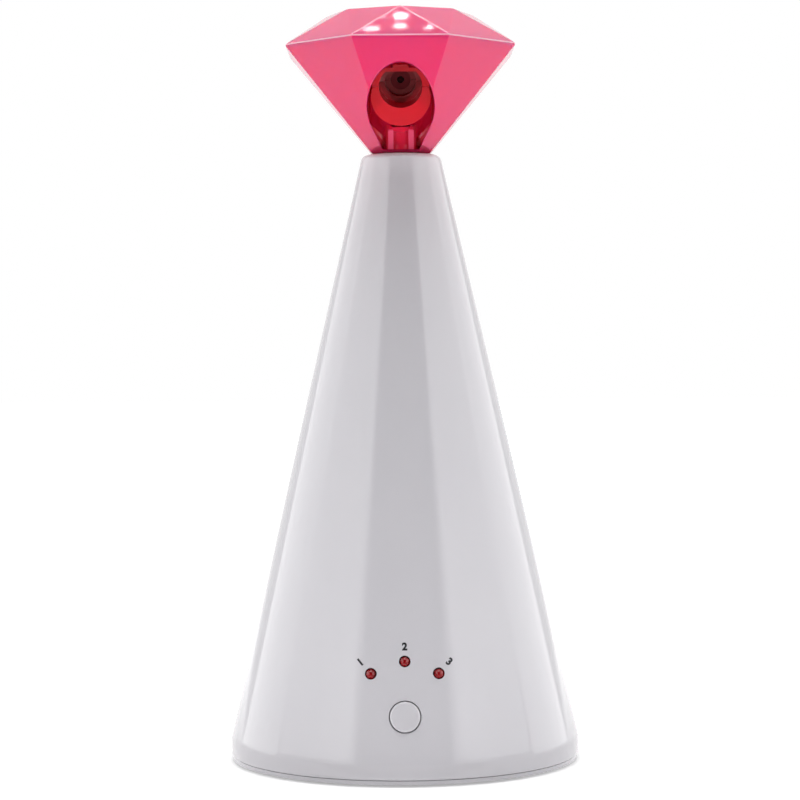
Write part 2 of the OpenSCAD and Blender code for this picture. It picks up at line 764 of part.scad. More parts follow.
module case_screws() {
    length = case_top - motor_top + 7;
    color(steel) around(case_screw_angles, case_screw_r)
        translate([0, 0, motor_top - seat_gap]) pan_screw(gear_screw, length);
}

module motor_can() {
    color(steel) translate([motor_at[0], motor_at[1], 0]) rotate([0, 0, motor_dir]) difference() {
        union() {
            intersection() {
                translate([0, 0, motor_top - motor_l])
                    cylinder(r = motor_r, h = motor_l - seat_gap, $fn = 72);
                translate([-motor_r - 1, -motor_flat, motor_top - motor_l])
                    cube([2 * motor_r + 2, 2 * motor_flat, motor_l]);
            }
            translate([0, 0, motor_top - 1]) cylinder(r = nose_r, h = nose_l + 1, $fn = 48);
        }
        translate([0, 0, motor_top - motor_l - 1]) cylinder(r = rotor_r + run_gap, h = motor_l + 4, $fn = 32);
        translate([0, 0, motor_top - motor_l - 1]) cylinder(r = motor_r - 2.6, h = 14, $fn = 48);
        for (s = [-1, 1]) translate([s * motor_screw_r, 0, 0]) pilot_hole(motor_screw, motor_top - 2.5, 4);
    }
}

module motor_end_cap() {
    cap_h = 4.6;
    color(black) translate([motor_at[0], motor_at[1], 0]) rotate([0, 0, motor_dir]) difference() {
        union() {
            intersection() {
                translate([0, 0, motor_top - motor_l - cap_h])
                    cylinder(r = motor_r, h = cap_h - seat_gap, $fn = 72);
                translate([-motor_r - 1, -motor_flat, motor_top - motor_l - cap_h])
                    cube([2 * motor_r + 2, 2 * motor_flat, cap_h]);
            }
            translate([0, 0, motor_top - motor_l - cap_h - 1.6]) cylinder(r = nose_r, h = 2, $fn = 48);
        }
        translate([0, 0, motor_top - motor_l - cap_h - 0.8])
            cylinder(r = rotor_r + run_gap, h = 9, $fn = 32);
    }
}

module motor_screws() {
    color(steel) translate([motor_at[0], motor_at[1], 0]) around([motor_dir, motor_dir + 180], motor_screw_r)
        translate([0, 0, motor_top + case_t + seat_gap]) mirror([0, 0, 1]) pan_screw(motor_screw, case_t + 2);
}

module motor_shaft() {
    color(steel) translate([motor_at[0], motor_at[1], 0]) {
        translate([0, 0, rotor_low])
            cylinder(r = rotor_r, h = level_z(1) + face_w + 0.5 - rotor_low, $fn = 32);
        translate([0, 0, motor_top - motor_l + 0.6]) cylinder(r = motor_r - 3.1, h = 11.8, $fn = 12);
    }
}

module motor_pinion() {
    color(brass) translate([motor_at[0], motor_at[1], 0]) difference() {
        wheel(small_teeth, first_to_motor + 180 - 180 / small_teeth, level_z(1) - 0.1, face_w + 0.4);
        translate([0, 0, level_z(1) - 1]) cylinder(r = rotor_r + seat_gap, h = face_w + 3, $fn = 32);
    }
}

// A large wheel at level k with a small one above it, which reaches through the next level
module compound_gear(at, k, wheel_dir, small_dir) {
    translate([at[0], at[1], 0]) difference() {
        union() {
            wheel(large_teeth, wheel_dir, level_z(k), face_w);
            wheel(small_teeth, small_dir, level_z(k) + face_w - bit, level_step + bit);
        }
        translate([0, 0, level_z(k) - 1]) cylinder(r = pin_r + run_gap, h = 2 * level_step + 3, $fn = 40);
    }
}

module gear_first() {
    color(nylon)
        compound_gear(first_pin, 1, first_to_motor, second_to_first + 180 - 180 / small_teeth);
}

module gear_second() {
    color(nylon)
        compound_gear(second_pin, 2, second_to_first, 180 - 180 / small_teeth);
}

module gear_output() {
    color(nylon) difference() {
        union() {
            wheel(output_teeth, 0, level_z(3), face_w);
            translate([0, 0, level_z(3) - 0.5]) cylinder(r = shaft_r + 2.2, h = face_w + 0.8, $fn = 48);
        }
        flatted_bar(shaft_r + seat_gap, level_z(3) - 2, face_w + 4);
    }
}

module drive_shaft() {
    top = stem_z + socket_l - 0.3;
    color(steel) difference() {
        union() {
            translate([0, 0, motor_top + 0.2])
                cylinder(r = shaft_r / 2, h = level_z(3) - motor_top, $fn = 40);
            translate([0, 0, level_z(3) - 1.2])
                cylinder(r = shaft_r, h = top - level_z(3) + 1.2, $fn = 64);
        }
        // Flats that turn the wheel and the head, the wires' bore and their way out to the bands
        translate([shaft_r - flat_d, -shaft_r, level_z(3) - 0.5]) cube([shaft_r, 2 * shaft_r, face_w + 0.8]);
        translate([shaft_r - flat_d, -shaft_r, stem_z]) cube([shaft_r, 2 * shaft_r, socket_l]);
        translate([0, 0, drum_z + drum_h / 2]) cylinder(r = 1.3, h = top, $fn = 40);
        translate([-shaft_r - 1, 0, drum_z + drum_h + 2]) rotate([0, 90, 0])
            cylinder(r = 0.8, h = shaft_r + 1, $fn = 24);
    }
}

function band_z(i) = drum_z + 1.3 + i * band_step;

module slip_drum() {
    color(black) difference() {
        union() {
            translate([0, 0, drum_z]) cylinder(r = drum_r, h = drum_h, $fn = 64);
            for (z = [drum_z, band_z(0) + band_w, band_z(1) + band_w])
                translate([0, 0, z]) cylinder(r = band_r + 0.5, h = 1.3 - seat_gap, $fn = 64);
        }
        translate([0, 0, drum_z - 1]) cylinder(r = shaft_r + seat_gap, h = drum_h + 3, $fn = 64);
    }
}

module slip_bands() {
    color(brass) for (i = [0, 1]) difference() {
        translate([0, 0, band_z(i) + seat_gap]) cylinder(r = band_r, h = band_w - 2 * seat_gap, $fn = 64);
        translate([0, 0, band_z(i) - 1]) cylinder(r = drum_r + seat_gap, h = band_w + 2, $fn = 64);
    }
}

brush_x = 11;
brush_y = band_r + run_gap;

module brush_block() {
    color(black) difference() {
        translate([brush_x, brush_y - 1.6, case_top + seat_gap]) cube([4.4, 4.4, drum_h + 1]);
        for (i = [0, 1]) translate([brush_x - 1, brush_y - seat_gap, band_z(i) + 0.4 - seat_gap])
            cube([4.4, leaf_t + 2 * seat_gap, band_w - 0.8 + 2 * seat_gap]);
    }
}

module brush_leaves() {
    color(brass) for (i = [0, 1]) translate([-3, brush_y, band_z(i) + 0.4])
        cube([brush_x + 6.2, leaf_t, band_w - 0.8]);
}

// =========================================================================================
// Head
// =========================================================================================

// Half the window's width at angle t round its outline
function window_half(t) = window_w / 2 * (1 - window_egg * max(sin(t), 0));

// The window's outline in a front view: an arch over a drop that narrows to the neck
function window_outline() =
    let (mid = head_z + window_rise)
    concat(
        [for (t = [-30:5:210])
            [window_half(t) * cos(t), mid + (t > 0 && t < 180 ? window_arch : window_under) * sin(t)]],
        [[-window_foot_w / 2, floor_z], [window_foot_w / 2, floor_z]]
    );

module head_shell() {
    color(pink) difference() {
        union() {
            octagon_block(neck_w, head_w, head_z, seam_z - girdle_edge);
            octagon_block(head_w, head_w, seam_z - girdle_edge - bit, seam_z);
            translate([0, 0, stem_z]) cylinder(r = journal_r, h = head_z - stem_z + 0.5, $fn = 96);
        }
        octagon_block(
            2 * (facet_r(floor_z) - facet_wall), 2 * (facet_r(seam_z + 1) - facet_wall), floor_z, seam_z + 1
        );
        rotate([90, 0, 0]) linear_extrude(height = head_w) polygon(window_outline());
        // Groove for the clip, the shaft's socket, the wires' way up and the yoke's screw holes
        difference() {
            translate([0, 0, clip_z - 0.05]) cylinder(r = journal_r + 1, h = clip_t + 0.1, $fn = 96);
            translate([0, 0, clip_z - 1]) cylinder(r = groove_r, h = clip_t + 2, $fn = 96);
        }
        flatted_bar(shaft_r + seat_gap, stem_z - 1, socket_l + 1);
        translate([0, 0, stem_z]) cylinder(r = wire_way_r, h = 40, $fn = 40);
        for (s = [-1, 1]) translate([s * yoke_screw_x, 0, 0]) pilot_hole(yoke_screw, floor_z - 6, 8);
    }
}

module head_crown() {
    corner = head_w / 2 * to_corner;
    girdle_z = seam_z + girdle_edge;
    // The lip drops inside the lower shell, whose wall leans in below the seam
    lip_r = facet_r(seam_z - lip_h) - facet_wall - lip_gap;
    hollow_corner = (lip_r - lip_t) * to_corner;
    color(pink) difference() {
        union() {
            crown_block(corner, table_w / 2, seam_z + seat_gap, girdle_z, table_z);
            octagon_block(2 * lip_r, 2 * lip_r, seam_z - lip_h, girdle_z);
        }
        crown_block(
            hollow_corner, table_w / 2 - table_inset, seam_z - lip_h - 1, girdle_z + hollow_rise,
            table_z - head_wall
        );
    }
}

module neck_clip() {
    color(steel) difference() {
        translate([0, 0, clip_z]) cylinder(r = journal_r + 1.5, h = clip_t, $fn = 64);
        translate([0, 0, clip_z - 1]) cylinder(r = groove_r + seat_gap, h = clip_t + 2, $fn = 64);
        translate([-2, 0, clip_z - 1]) cube([4, journal_r + 3, clip_t + 2]);
    }
}

// One arm of the yoke, on the +X side: a foot that leans out, then an upright with a bearing
module yoke_arm() {
    reach = (arm_x + arm_t + arm_w / 2 - pivot[1]) * cos(45);
    knee_z = head_z + (reach + facet_wall + 0.4 - neck_w / 2) / facet_slope;
    difference() {
        union() {
            hull() {
                translate([3, -4.6, floor_z + seat_gap]) cube([2.2, 2.6, 1.8]);
                translate([arm_x, pivot[1] - arm_w / 2, knee_z]) cube([arm_t, arm_w, 1]);
            }
            translate([arm_x, pivot[1] - arm_w / 2, knee_z]) cube([arm_t, arm_w, pivot[2] - knee_z]);
            translate([0, pivot[1], pivot[2]]) cylinder_x(arm_w / 2, arm_x, arm_x + arm_t);
        }
        translate([0, pivot[1], pivot[2]]) cylinder_x(trunnion_r + run_gap, arm_x - 1, arm_x + arm_t + 1);
    }
}

module head_yoke() {
    plate_r = facet_r(floor_z) - facet_wall - 0.25;
    rib_w = 1.7;
    post_top = head_z + post_rise;
    color(crimson) difference() {
        union() {
            translate([0, 0, floor_z + seat_gap]) cylinder(r = plate_r, h = plate_t, $fn = 64);
            yoke_arm();
            mirror([1, 0, 0]) yoke_arm();
            // The post under the barrel, with two upright ribs and a round-bottomed saddle on its face
            translate([-post_w / 2, -plate_r + 0.6, floor_z + seat_gap])
                cube([post_w, 2.2, post_top - floor_z]);
            translate([0, -plate_r + 1, post_top - saddle_drop]) rotate([90, 0, 0]) linear_extrude(height = 1)
                intersection() {
                    translate([0, saddle_r - saddle_h]) circle(r = saddle_r, $fn = 96);
                    translate([-post_w / 2 + rib_w, -saddle_h]) square([post_w - 2 * rib_w, saddle_h]);
                }
            for (s = [-1, 1]) hull() {
                translate([s * (post_w / 2 - rib_w) - rib_w / 2, -plate_r - 0.6, floor_z + seat_gap])
                    cube([rib_w, 1.6, post_top - floor_z - 2]);
                translate([s * (post_w / 2 - rib_w) - 0.2, -plate_r + 0.2, post_top - 1]) cube([0.4, 1.2, 1]);
            }
        }
        translate([0, 0, floor_z - 1]) cylinder(r = wire_way_r, h = 6, $fn = 40);
        for (s = [-1, 1]) translate([s * yoke_screw_x, 0, 0]) {
            clear_hole(yoke_screw, floor_z - 1, 8);
            translate([0, 0, floor_z + seat_gap + plate_t])
                cylinder(r = yoke_screw[1] + 0.1, h = 12, $fn = 32);
        }
    }
}

module yoke_screws() {
    seat_z = floor_z + plate_t + 2 * seat_gap;
    color(steel) for (s = [-1, 1]) translate([s * yoke_screw_x, 0, seat_z]) mirror([0, 0, 1])
        pan_screw(yoke_screw, 6.5);
}

// =========================================================================================
// Laser
// =========================================================================================

// The passage through the barrel: the dark tunnel, a shoulder, then the module's seat
module barrel_passage() {
    translate([0, 0, tunnel_rise]) {
        intersection() {
            cylinder_y(tunnel_r, -pivot_back - 1, -pivot_back + tunnel_l, 72);
            translate([-tunnel_r - 1, -pivot_back - 2, -tunnel_r - 1])
                cube([2 * tunnel_r + 2, tunnel_l + 3, tunnel_r + 1 + flat_rise]);
        }
        cylinder_y(shoulder_r, -pivot_back + tunnel_l - bit, module_y);
        cylinder_y(module_r + seat_gap, module_y - bit, barrel_l, 72);
    }
}

module laser_cradle() {
    color(crimson) on_barrel() difference() {
        union() {
            intersection() {
                cylinder_y(barrel_r, -pivot_back, barrel_l - pivot_back, 96);
                translate([-barrel_r - 1, -pivot_back - 1, -barrel_r - 1])
                    cube([2 * barrel_r + 2, barrel_l + 2, barrel_r + 1 + tunnel_rise]);
            }
            cylinder_x(trunnion_r, -arm_x - arm_t - 0.3, arm_x + arm_t + 0.3);
            for (s = [0, 180]) rotate([0, s, 0]) cylinder_x(trunnion_r + 1.2, barrel_r - 1.5, arm_x - 0.2);
        }
        barrel_passage();
    }
}

module laser_hood() {
    side = barrel_r;
    split = tunnel_rise + split_gap;
    roof = tunnel_rise + flat_rise + roof_t;
    color(crimson) on_barrel() difference() {
        union() {
            translate([0, barrel_l - pivot_back, 0]) rotate([90, 0, 0]) linear_extrude(height = barrel_l)
                polygon([
                    [-side + 0.4, split], [side - 0.4, split], [side - 0.7, split + 3], [side * 0.62, roof],
                    [-side * 0.62, roof], [-side + 0.7, split + 3]
                ]);
            translate([-tab_w / 2, -pivot_back, roof - 0.5]) cube([tab_w, 2, tab_h + 0.5]);
        }
        barrel_passage();
    }
}

module laser_module() {
    color(brass) on_barrel() translate([0, 0, tunnel_rise]) difference() {
        cylinder_y(module_r, module_y, module_y + module_l, 72);
        cylinder_y(aperture_r, module_y - 1, module_y + 1, 40);
        cylinder_y(module_r - module_wall, module_y + module_face, module_y + module_l + 1, 56);
    }
}

module laser_lens() {
    color("#C44") on_barrel() translate([0, 0, tunnel_rise])
        cylinder_y(module_r - module_wall - seat_gap, module_y + module_face + seat_gap, module_y + 2.2, 56);
}

module laser_diode() {
    color(brass) on_barrel() translate([0, 0, tunnel_rise]) {
        cylinder_y(module_r - module_wall - seat_gap, module_y + module_l - 5, module_y + module_l - 2, 56);
        for (x = [-1, 1]) translate([x, 0, 0])
            cylinder_y(0.25, module_y + module_l - 2 - bit, module_y + module_l + 1.5, 16);
    }
}

cone_shell();
base_cover();
rubber_feet();
base_screws();
battery_cells();
battery_springs();
battery_plates();
battery_door();
door_screw();
control_board();
board_screws();
mode_switch();
switch_plunger();
button_cap();
status_lamps();
gear_case();
gear_cover();
gear_pins();
case_screws();
motor_can();
motor_end_cap();
motor_screws();
motor_shaft();
motor_pinion();
gear_first();
gear_second();
gear_output();
drive_shaft();
slip_drum();
slip_bands();
brush_block();
brush_leaves();
neck_bush();
neck_clip();
head_shell();
head_crown();
head_yoke();
yoke_screws();
laser_cradle();
laser_hood();
laser_module();
laser_lens();
laser_diode();
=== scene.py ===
"""Looks of the automatic cat laser toy: a glossy white cone with a pink faceted head.

Metres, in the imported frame: +Z up, the front faces -Y, the floor is z = 0.
"""
import json
import math

import bmesh
import bpy
import numpy as np
from mathutils import Matrix, Vector


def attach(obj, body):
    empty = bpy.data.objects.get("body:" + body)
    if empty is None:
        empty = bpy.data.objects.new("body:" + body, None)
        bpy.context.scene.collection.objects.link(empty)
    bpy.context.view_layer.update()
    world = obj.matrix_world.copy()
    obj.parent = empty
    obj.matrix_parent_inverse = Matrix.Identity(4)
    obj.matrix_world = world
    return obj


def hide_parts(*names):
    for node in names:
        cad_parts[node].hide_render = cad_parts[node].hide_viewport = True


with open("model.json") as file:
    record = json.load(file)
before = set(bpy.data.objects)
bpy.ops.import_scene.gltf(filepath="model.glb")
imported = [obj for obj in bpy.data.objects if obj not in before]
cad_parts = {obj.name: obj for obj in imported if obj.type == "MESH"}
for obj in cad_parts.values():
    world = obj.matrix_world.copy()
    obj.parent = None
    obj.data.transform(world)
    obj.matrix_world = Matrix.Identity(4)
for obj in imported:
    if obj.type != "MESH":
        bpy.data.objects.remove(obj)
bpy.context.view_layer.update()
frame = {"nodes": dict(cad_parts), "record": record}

MM = 0.001

# --- Sizes, in millimetres -----------------------------------------------------------------
# The cone's outside, from its foot to the rolled edge at its top
BASE_R = 57.0
SHELL_Z = 2.15
BAND_TOP = 7.35
CONE_H = 198.0
CONE_TOP_R = 12.8
TOP_ROUND = 2.4
FOOT_ROUND = 0.6
WALL = 2.2
TOP_PLATE = 3.0
BUSH_R = 8.97
CONE_SLOPE = (BASE_R - CONE_TOP_R) / (CONE_H - BAND_TOP)
CONE_ANGLE = math.atan(CONE_SLOPE)
CONE_SIDES = 360

# The control panel: a button with three lamps on an arc over it, and a number by each lamp
CONTROLS = (-1, 0, 1)
BUTTON_Z = 21.3
BUTTON_HOLE_R = 5.0
BUTTON_R = 4.7
BUTTON_PROUD = 0.9
BUTTON_EDGE = 0.8
BUTTON_CROWN = 0.15
FLANGE_R, FLANGE_FRONT, FLANGE_BACK = 6.2, -2.9, -3.9
STALK_R, STALK_END = 1.4, -4.5
LAMP_ARC_R = 17.1
LAMP_STEP = math.radians(38)
LAMP_HOLE_R = 1.8
LAMP_R = 1.5
LAMP_PROUD = 0.6
LAMP_RIM, LAMP_SEAT, LAMP_BACK = 0.25, -2.6, -3.4
LAMP_SIDES = 48
LIP = 0.25
LAMP_LIP = LIP * 0.6
MARK_ARC_R = 21.7
MARK_STEP = math.radians(39.5)
MARK_H = 2.5
MARK_WEIGHT = 0.05
INK_H = 0.03

# How far a hole's cutter reaches into the cone and out of it, and how far its flare starts proud
CUT_IN, CUT_OUT, CUT_PROUD = 8.0, 4.0, 0.06

# The head: an octagonal lower half with a drop-shaped window, and a faceted crown
HEAD_Z = 198.3
HEAD_W = 73.8
NECK_W = 19.0
FACET_SLOPE = math.tan(math.radians(39.1))
GIRDLE_EDGE = 0.4
SEAM_Z = HEAD_Z + (HEAD_W - NECK_W) / 2 / FACET_SLOPE + GIRDLE_EDGE
HEAD_WALL = 2.0
FACET_WALL = HEAD_WALL * math.sqrt(1 + FACET_SLOPE ** 2)
FLOOR_Z = HEAD_Z + 1.0
FACET_ROUND = 0.7
FOOT_EDGE = 0.25
CORNER_STEPS, FLAT_STEPS = 6, 10
TO_CORNER = 1 / math.cos(math.pi / 8)

# The window: an egg over an ellipse, whose sides turn straight at WINDOW_TURN degrees under
# the level, and the cutter that makes it
WINDOW_W = 21.8
WINDOW_MID = HEAD_Z + 14.0
WINDOW_ARCH = 12.7
WINDOW_EGG = 0.06
WINDOW_UNDER = 12.2
WINDOW_TURN = 30
WINDOW_FOOT_W = 11.8
WINDOW_LIP = 0.45
WINDOW_CUT_Y = -60.0

# The journal under the head, which turns in the bush and carries the clip in a groove
JOURNAL_R, GROOVE_R, BORE_R = 7.0, 6.2, 1.6
STEM_Z, CLIP_Z, CLIP_T = 185.0, 186.6, 0.9
STEM_EDGE, STEM_BURIED = 0.4, 0.2

# Where the head's plastic looks different: painted shade over the yoke's foot, painted highlights
# on the ribs' fronts and along the widest edge, and the swell in the crown's front facet
COLLAR_HALF_W, COLLAR_H = 10.0, 3.2
RIB_FRONT = 7.9
GIRDLE_PALE = 0.5
FACET_MID = (0, -32.5, 236.6)
SWELL_REACH, SWELL_H = 16.0, 0.154
PATCH_SLACK = 0.02
ENDLESS = 1e6

# The laser's barrel, which points down: the middle of its mouth and the tunnel over it
BARREL_PITCH = math.radians(22)
BARREL_FRONT = 16.0
BARREL_Z = HEAD_Z + 17.1
TUNNEL_R = 7.0
TUNNEL_RISE = 3.4
TUNNEL_MOUTH = (
    0,
    -BARREL_FRONT - TUNNEL_RISE * math.sin(BARREL_PITCH),
    BARREL_Z + TUNNEL_RISE * math.cos(BARREL_PITCH),
)
MOUTH_EDGE = 0.25


def cone_r(z):
    """The cone's outside radius at height z, in millimetres."""
    return BASE_R - (z - BAND_TOP) * CONE_SLOPE


def facet_r(z):
    """The lower head's distance from its axis to a facet at height z, in millimetres."""
    return NECK_W / 2 + (z - HEAD_Z) * FACET_SLOPE


# --- Objects and meshes --------------------------------------------------------------------
def put(name, data):
    """A new object in the scene that holds the data."""
    made = bpy.data.objects.new(name, data)
    bpy.context.scene.collection.objects.link(made)
    return made


def shade(piece, sharp_deg):
    """Smooth shading that breaks at edges sharper than the given angle."""
    mesh = piece.data
    mesh.validate()
    mesh.polygons.foreach_set("use_smooth", np.ones(len(mesh.polygons), bool))
    mesh.set_sharp_from_angle(angle=math.radians(sharp_deg))
    mesh.update()


def put_mesh(name, points_mm, faces, sharp_deg=35):
    """A mesh object from an array of points in millimetres and a list of faces."""
    mesh = bpy.data.meshes.new(name)
    mesh.from_pydata((np.asarray(points_mm) * MM).tolist(), [], faces)
    piece = put(name, mesh)
    shade(piece, sharp_deg)
    return piece


def grid_faces(rows, cols, close_rows=False):
    """Quads over a rows by cols grid of points, wrapped round across, and on request down."""
    r = np.arange(rows if close_rows else rows - 1)
    r, c = np.meshgrid(r, np.arange(cols), indexing="ij")
    r2, c2 = (r + 1) % rows, (c + 1) % cols
    quads = np.stack([r * cols + c, r * cols + c2, r2 * cols + c2, r2 * cols + c], -1)
    return quads.reshape(-1, 4).tolist()


def capped(rows, cols):
    """Grid faces with a flat many-sided face over the first and the last row."""
    first = list(range(cols))[::-1]
    last = [(rows - 1) * cols + i for i in range(cols)]
    return grid_faces(rows, cols) + [first, last]


def joined(meshes):
    """Several (points, faces) meshes as one."""
    points, faces, count = [], [], 0
    for some, over in meshes:
        points.append(some)
        faces += [[v + count for v in f] for f in over]
        count += len(some)
    return np.concatenate(points), faces


def turned(profile, sides):
    """A profile of (radius, height) rows turned about Z: x = r cos t, y = r sin t, z = height."""
    p = np.asarray(profile, float)
    t = np.linspace(0, 2 * math.pi, sides, endpoint=False)
    ring = np.stack([np.cos(t), np.sin(t)], -1)
    xy = p[:, None, :1] * ring[None]
    z = np.broadcast_to(p[:, None, 1:], xy.shape[:2] + (1,))
    return np.concatenate([xy, z], -1).reshape(-1, 3)


def arc(x, z, r, a, b, steps):
    """Points of a circle of radius r about (x, z), from angle a to b in degrees."""
    t = np.radians(np.linspace(a, b, steps + 1))
    return np.stack([x + r * np.cos(t), z + r * np.sin(t)], -1)


def line(a, b, steps):
    """Points from a to b, without the last one."""
    t = np.linspace(0, 1, steps, endpoint=False)[:, None]
    return np.asarray(a) * (1 - t) + np.asarray(b) * t


def panel_matrix():
    """The control panel's frame: origin at the button's centre, +Z out of the cone."""
    turn = Matrix.Rotation(math.pi / 2 - CONE_ANGLE, 4, "X")
    return Matrix.Translation(Vector((0, -cone_r(BUTTON_Z), BUTTON_Z))) @ turn


def on_panel(points):
    """Points in millimetres carried from the panel's frame into the toy's."""
    m = np.array(panel_matrix())
    return np.asarray(points) @ m[:3, :3].T + m[:3, 3]


def result_of(piece):
    """The piece as its modifiers leave it, or a curve's filled form, as a new mesh."""
    bpy.context.view_layer.update()
    state = bpy.context.evaluated_depsgraph_get()
    return bpy.data.meshes.new_from_object(piece.evaluated_get(state))


def carve(piece, cutters, sharp_deg=35):
    """Cuts the cutters out of the piece, exactly, and removes them."""
    for cutter in cutters:
        cut = piece.modifiers.new("cut", "BOOLEAN")
        cut.operation, cut.solver, cut.object = "DIFFERENCE", "EXACT", cutter
    done = result_of(piece)
    piece.modifiers.clear()
    piece.data = done
    for cutter in cutters:
        bpy.data.objects.remove(cutter)
    shade(piece, sharp_deg)


def refined(node, edge_mm, sharp_deg=30, share=None):
    """A welded copy of a CAD node with its flat faces whole and its edges rounded. With share,
    a function of an edge's end heights in millimetres, each edge is rounded by that share."""
    copy = bpy.data.meshes.new(node + "_finished")
    source = bmesh.new()
    source.from_mesh(frame["nodes"][node].data)
    bmesh.ops.remove_doubles(source, verts=source.verts, dist=2e-6)
    bmesh.ops.dissolve_limit(
        source, angle_limit=math.radians(0.4), verts=source.verts, edges=source.edges
    )
    if share:
        weight = source.edges.layers.float.new("bevel_weight_edge")
        for edge in source.edges:
            edge[weight] = share(*(v.co.z / MM for v in edge.verts))
    source.to_mesh(copy)
    source.free()
    piece = put(node + "_finished", copy)
    shade(piece, sharp_deg)
    soft = piece.modifiers.new("edge", "BEVEL")
    soft.width = edge_mm * MM
    soft.segments = 2
    soft.limit_method = "WEIGHT" if share else "ANGLE"
    soft.angle_limit = math.radians(sharp_deg)
    soft.harden_normals = True
    if share:
        # The large faces' own normals win, so that they shade flat
        flat = piece.modifiers.new("flat", "WEIGHTED_NORMAL")
        flat.weight = 100
    return piece


def dress(piece, body, slot, finish, *nodes):
    """Gives a piece its body and material, and the CAD nodes that it stands for. The slot is not
    used.
    """
    piece.data.materials.clear()
    piece.data.materials.append(finish)
    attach(piece, body)
    if nodes:
        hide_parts(*nodes)
    return piece


# --- Shader nodes --------------------------------------------------------------------------
def colour(text):
    """An sRGB hex colour as linear RGBA."""
    c = np.array([int(text[i:i + 2], 16) / 255 for i in (1, 3, 5)])
    c = np.where(c <= 0.04045, c / 12.92, ((c + 0.055) / 1.055) ** 2.4)
    return (*c.tolist(), 1.0)


def bare_tree(owner):
    """The node tree of a material or a world, switched on and emptied."""
    owner.use_nodes = True
    owner.node_tree.nodes.clear()
    return owner.node_tree


def add(tree, kind, inputs=None, links=None, **settings):
    """Adds one node with its settings, its input values and its incoming links."""
    made = tree.nodes.new(kind)
    for key, value in settings.items():
        setattr(made, key, value)
    for key, value in (inputs or {}).items():
        made.inputs[key].default_value = value
    for key, source in (links or {}).items():
        tree.links.new(source, made.inputs[key])
    return made


def reckon(tree, operation, *terms):
    """A math node's result. Each term is a number or another node's output."""
    inputs, links = {}, {}
    for i, term in enumerate(terms):
        (links if isinstance(term, bpy.types.NodeSocket) else inputs)[i] = term
    return add(tree, "ShaderNodeMath", inputs, links, operation=operation).outputs[0]


def length_of(tree, vector):
    """The length of a vector."""
    return add(tree, "ShaderNodeVectorMath", links={0: vector}, operation="LENGTH").outputs["Value"]


def axis_of(tree, vector, axis):
    """A vector's X, Y or Z."""
    return add(tree, "ShaderNodeSeparateXYZ", links={0: vector}).outputs[axis]


def seen_from(tree, place, middle_mm, unit_mm=(1, 1, 1), pitch=0):
    """The place as seen from a middle, along axes pitched about X, in units per axis."""
    return add(tree, "ShaderNodeMapping", {
        "Location": [v * MM for v in middle_mm], "Rotation": (pitch, 0, 0),
        "Scale": [v * MM for v in unit_mm],
    }, {"Vector": place}, vector_type="TEXTURE").outputs[0]


def per_mm(size_mm):
    """The scale that makes one noise feature about size_mm across."""
    return 1 / (size_mm * MM)


def moulded(name, base, deep, mottle_mm, rough, rough_spread, wave_mm, wave_depth_mm,
            patch=None, swell=None, **shader):
    """A moulded or drawn surface: two near colours in a slow mottle, an uneven gloss, and the
    faint wave that the mould or die leaves. Feature sizes are in millimetres. A patch is painted
    light or shade: a colour and a function that builds its mask from the tree and the place on
    the piece, and light doesn't sink in there. A swell is a function that builds a height in the
    same way, and how high it stands."""
    made = bpy.data.materials.new(name)
    tree = bare_tree(made)
    place = add(tree, "ShaderNodeTexCoord").outputs["Object"]
    mottle = add(tree, "ShaderNodeTexNoise", {"Scale": per_mm(mottle_mm), "Detail": 2.0},
                 {"Vector": place}).outputs["Fac"]
    mix = add(tree, "ShaderNodeMix", {6: colour(base), 7: colour(deep)}, {0: mottle},
              data_type="RGBA")
    more = {}
    if patch:
        mask = patch[1](tree, place)
        mix = add(tree, "ShaderNodeMix", {7: colour(patch[0])}, {0: mask, 6: mix.outputs[2]},
                  data_type="RGBA")
        depth = shader["Subsurface Weight"]
        more["Subsurface Weight"] = reckon(tree, "MULTIPLY_ADD", mask, -depth, depth)
    gloss = add(tree, "ShaderNodeMapRange",
                {"To Min": rough - rough_spread, "To Max": rough + rough_spread}, {"Value": mottle})
    wave = add(tree, "ShaderNodeTexNoise", {"Scale": per_mm(wave_mm), "Detail": 3.0},
               {"Vector": place})
    bump = add(tree, "ShaderNodeBump", {"Distance": wave_depth_mm * MM, "Strength": 1.0},
               {"Height": wave.outputs["Fac"]})
    if swell:
        bump = add(tree, "ShaderNodeBump", {"Distance": swell[1] * MM, "Strength": 1.0},
                   {"Height": swell[0](tree, place), "Normal": bump.outputs["Normal"]})
    body = add(tree, "ShaderNodeBsdfPrincipled", shader, {
        "Base Color": mix.outputs[2], "Roughness": gloss.outputs["Result"],
        "Normal": bump.outputs["Normal"], **more,
    })
    add(tree, "ShaderNodeOutputMaterial", links={"Surface": body.outputs["BSDF"]})
    return made


def painted_collar_shade_mask(tree, place):
    """Painted shade of the yoke's foot, as if seen through the clear wall at the neck: (x/a)^2 +
    (z/h)^2 < 1.
    """
    near = seen_from(tree, place, (0, 0, HEAD_Z), (COLLAR_HALF_W, ENDLESS, COLLAR_H))
    soft_edge = {"From Min": 0.96, "From Max": 1.04, "To Min": 1.0, "To Max": 0.0}
    return add(tree, "ShaderNodeMapRange", soft_edge, {"Value": length_of(tree, near)}).outputs[0]


def painted_tunnel_shade_mask(tree, place):
    """Painted shade inside the barrel's tunnel, in the barrel's frame: r < TUNNEL_R and behind the
    mouth.
    """
    near = seen_from(tree, place, TUNNEL_MOUTH, pitch=BARREL_PITCH)
    flat = add(tree, "ShaderNodeVectorMath", {1: (1, 0, 1)}, {0: near}, operation="MULTIPLY")
    out = length_of(tree, flat.outputs[0])
    within = reckon(tree, "LESS_THAN", out, TUNNEL_R + PATCH_SLACK)
    behind = reckon(tree, "GREATER_THAN", axis_of(tree, near, "Y"), MOUTH_EDGE)
    return reckon(tree, "MULTIPLY", within, behind)


def painted_rib_highlight_mask(tree, place):
    """The fronts of the post's ribs, where a paler pink is painted on as a highlight."""
    return reckon(tree, "LESS_THAN", axis_of(tree, place, "Y"), -RIB_FRONT * MM)


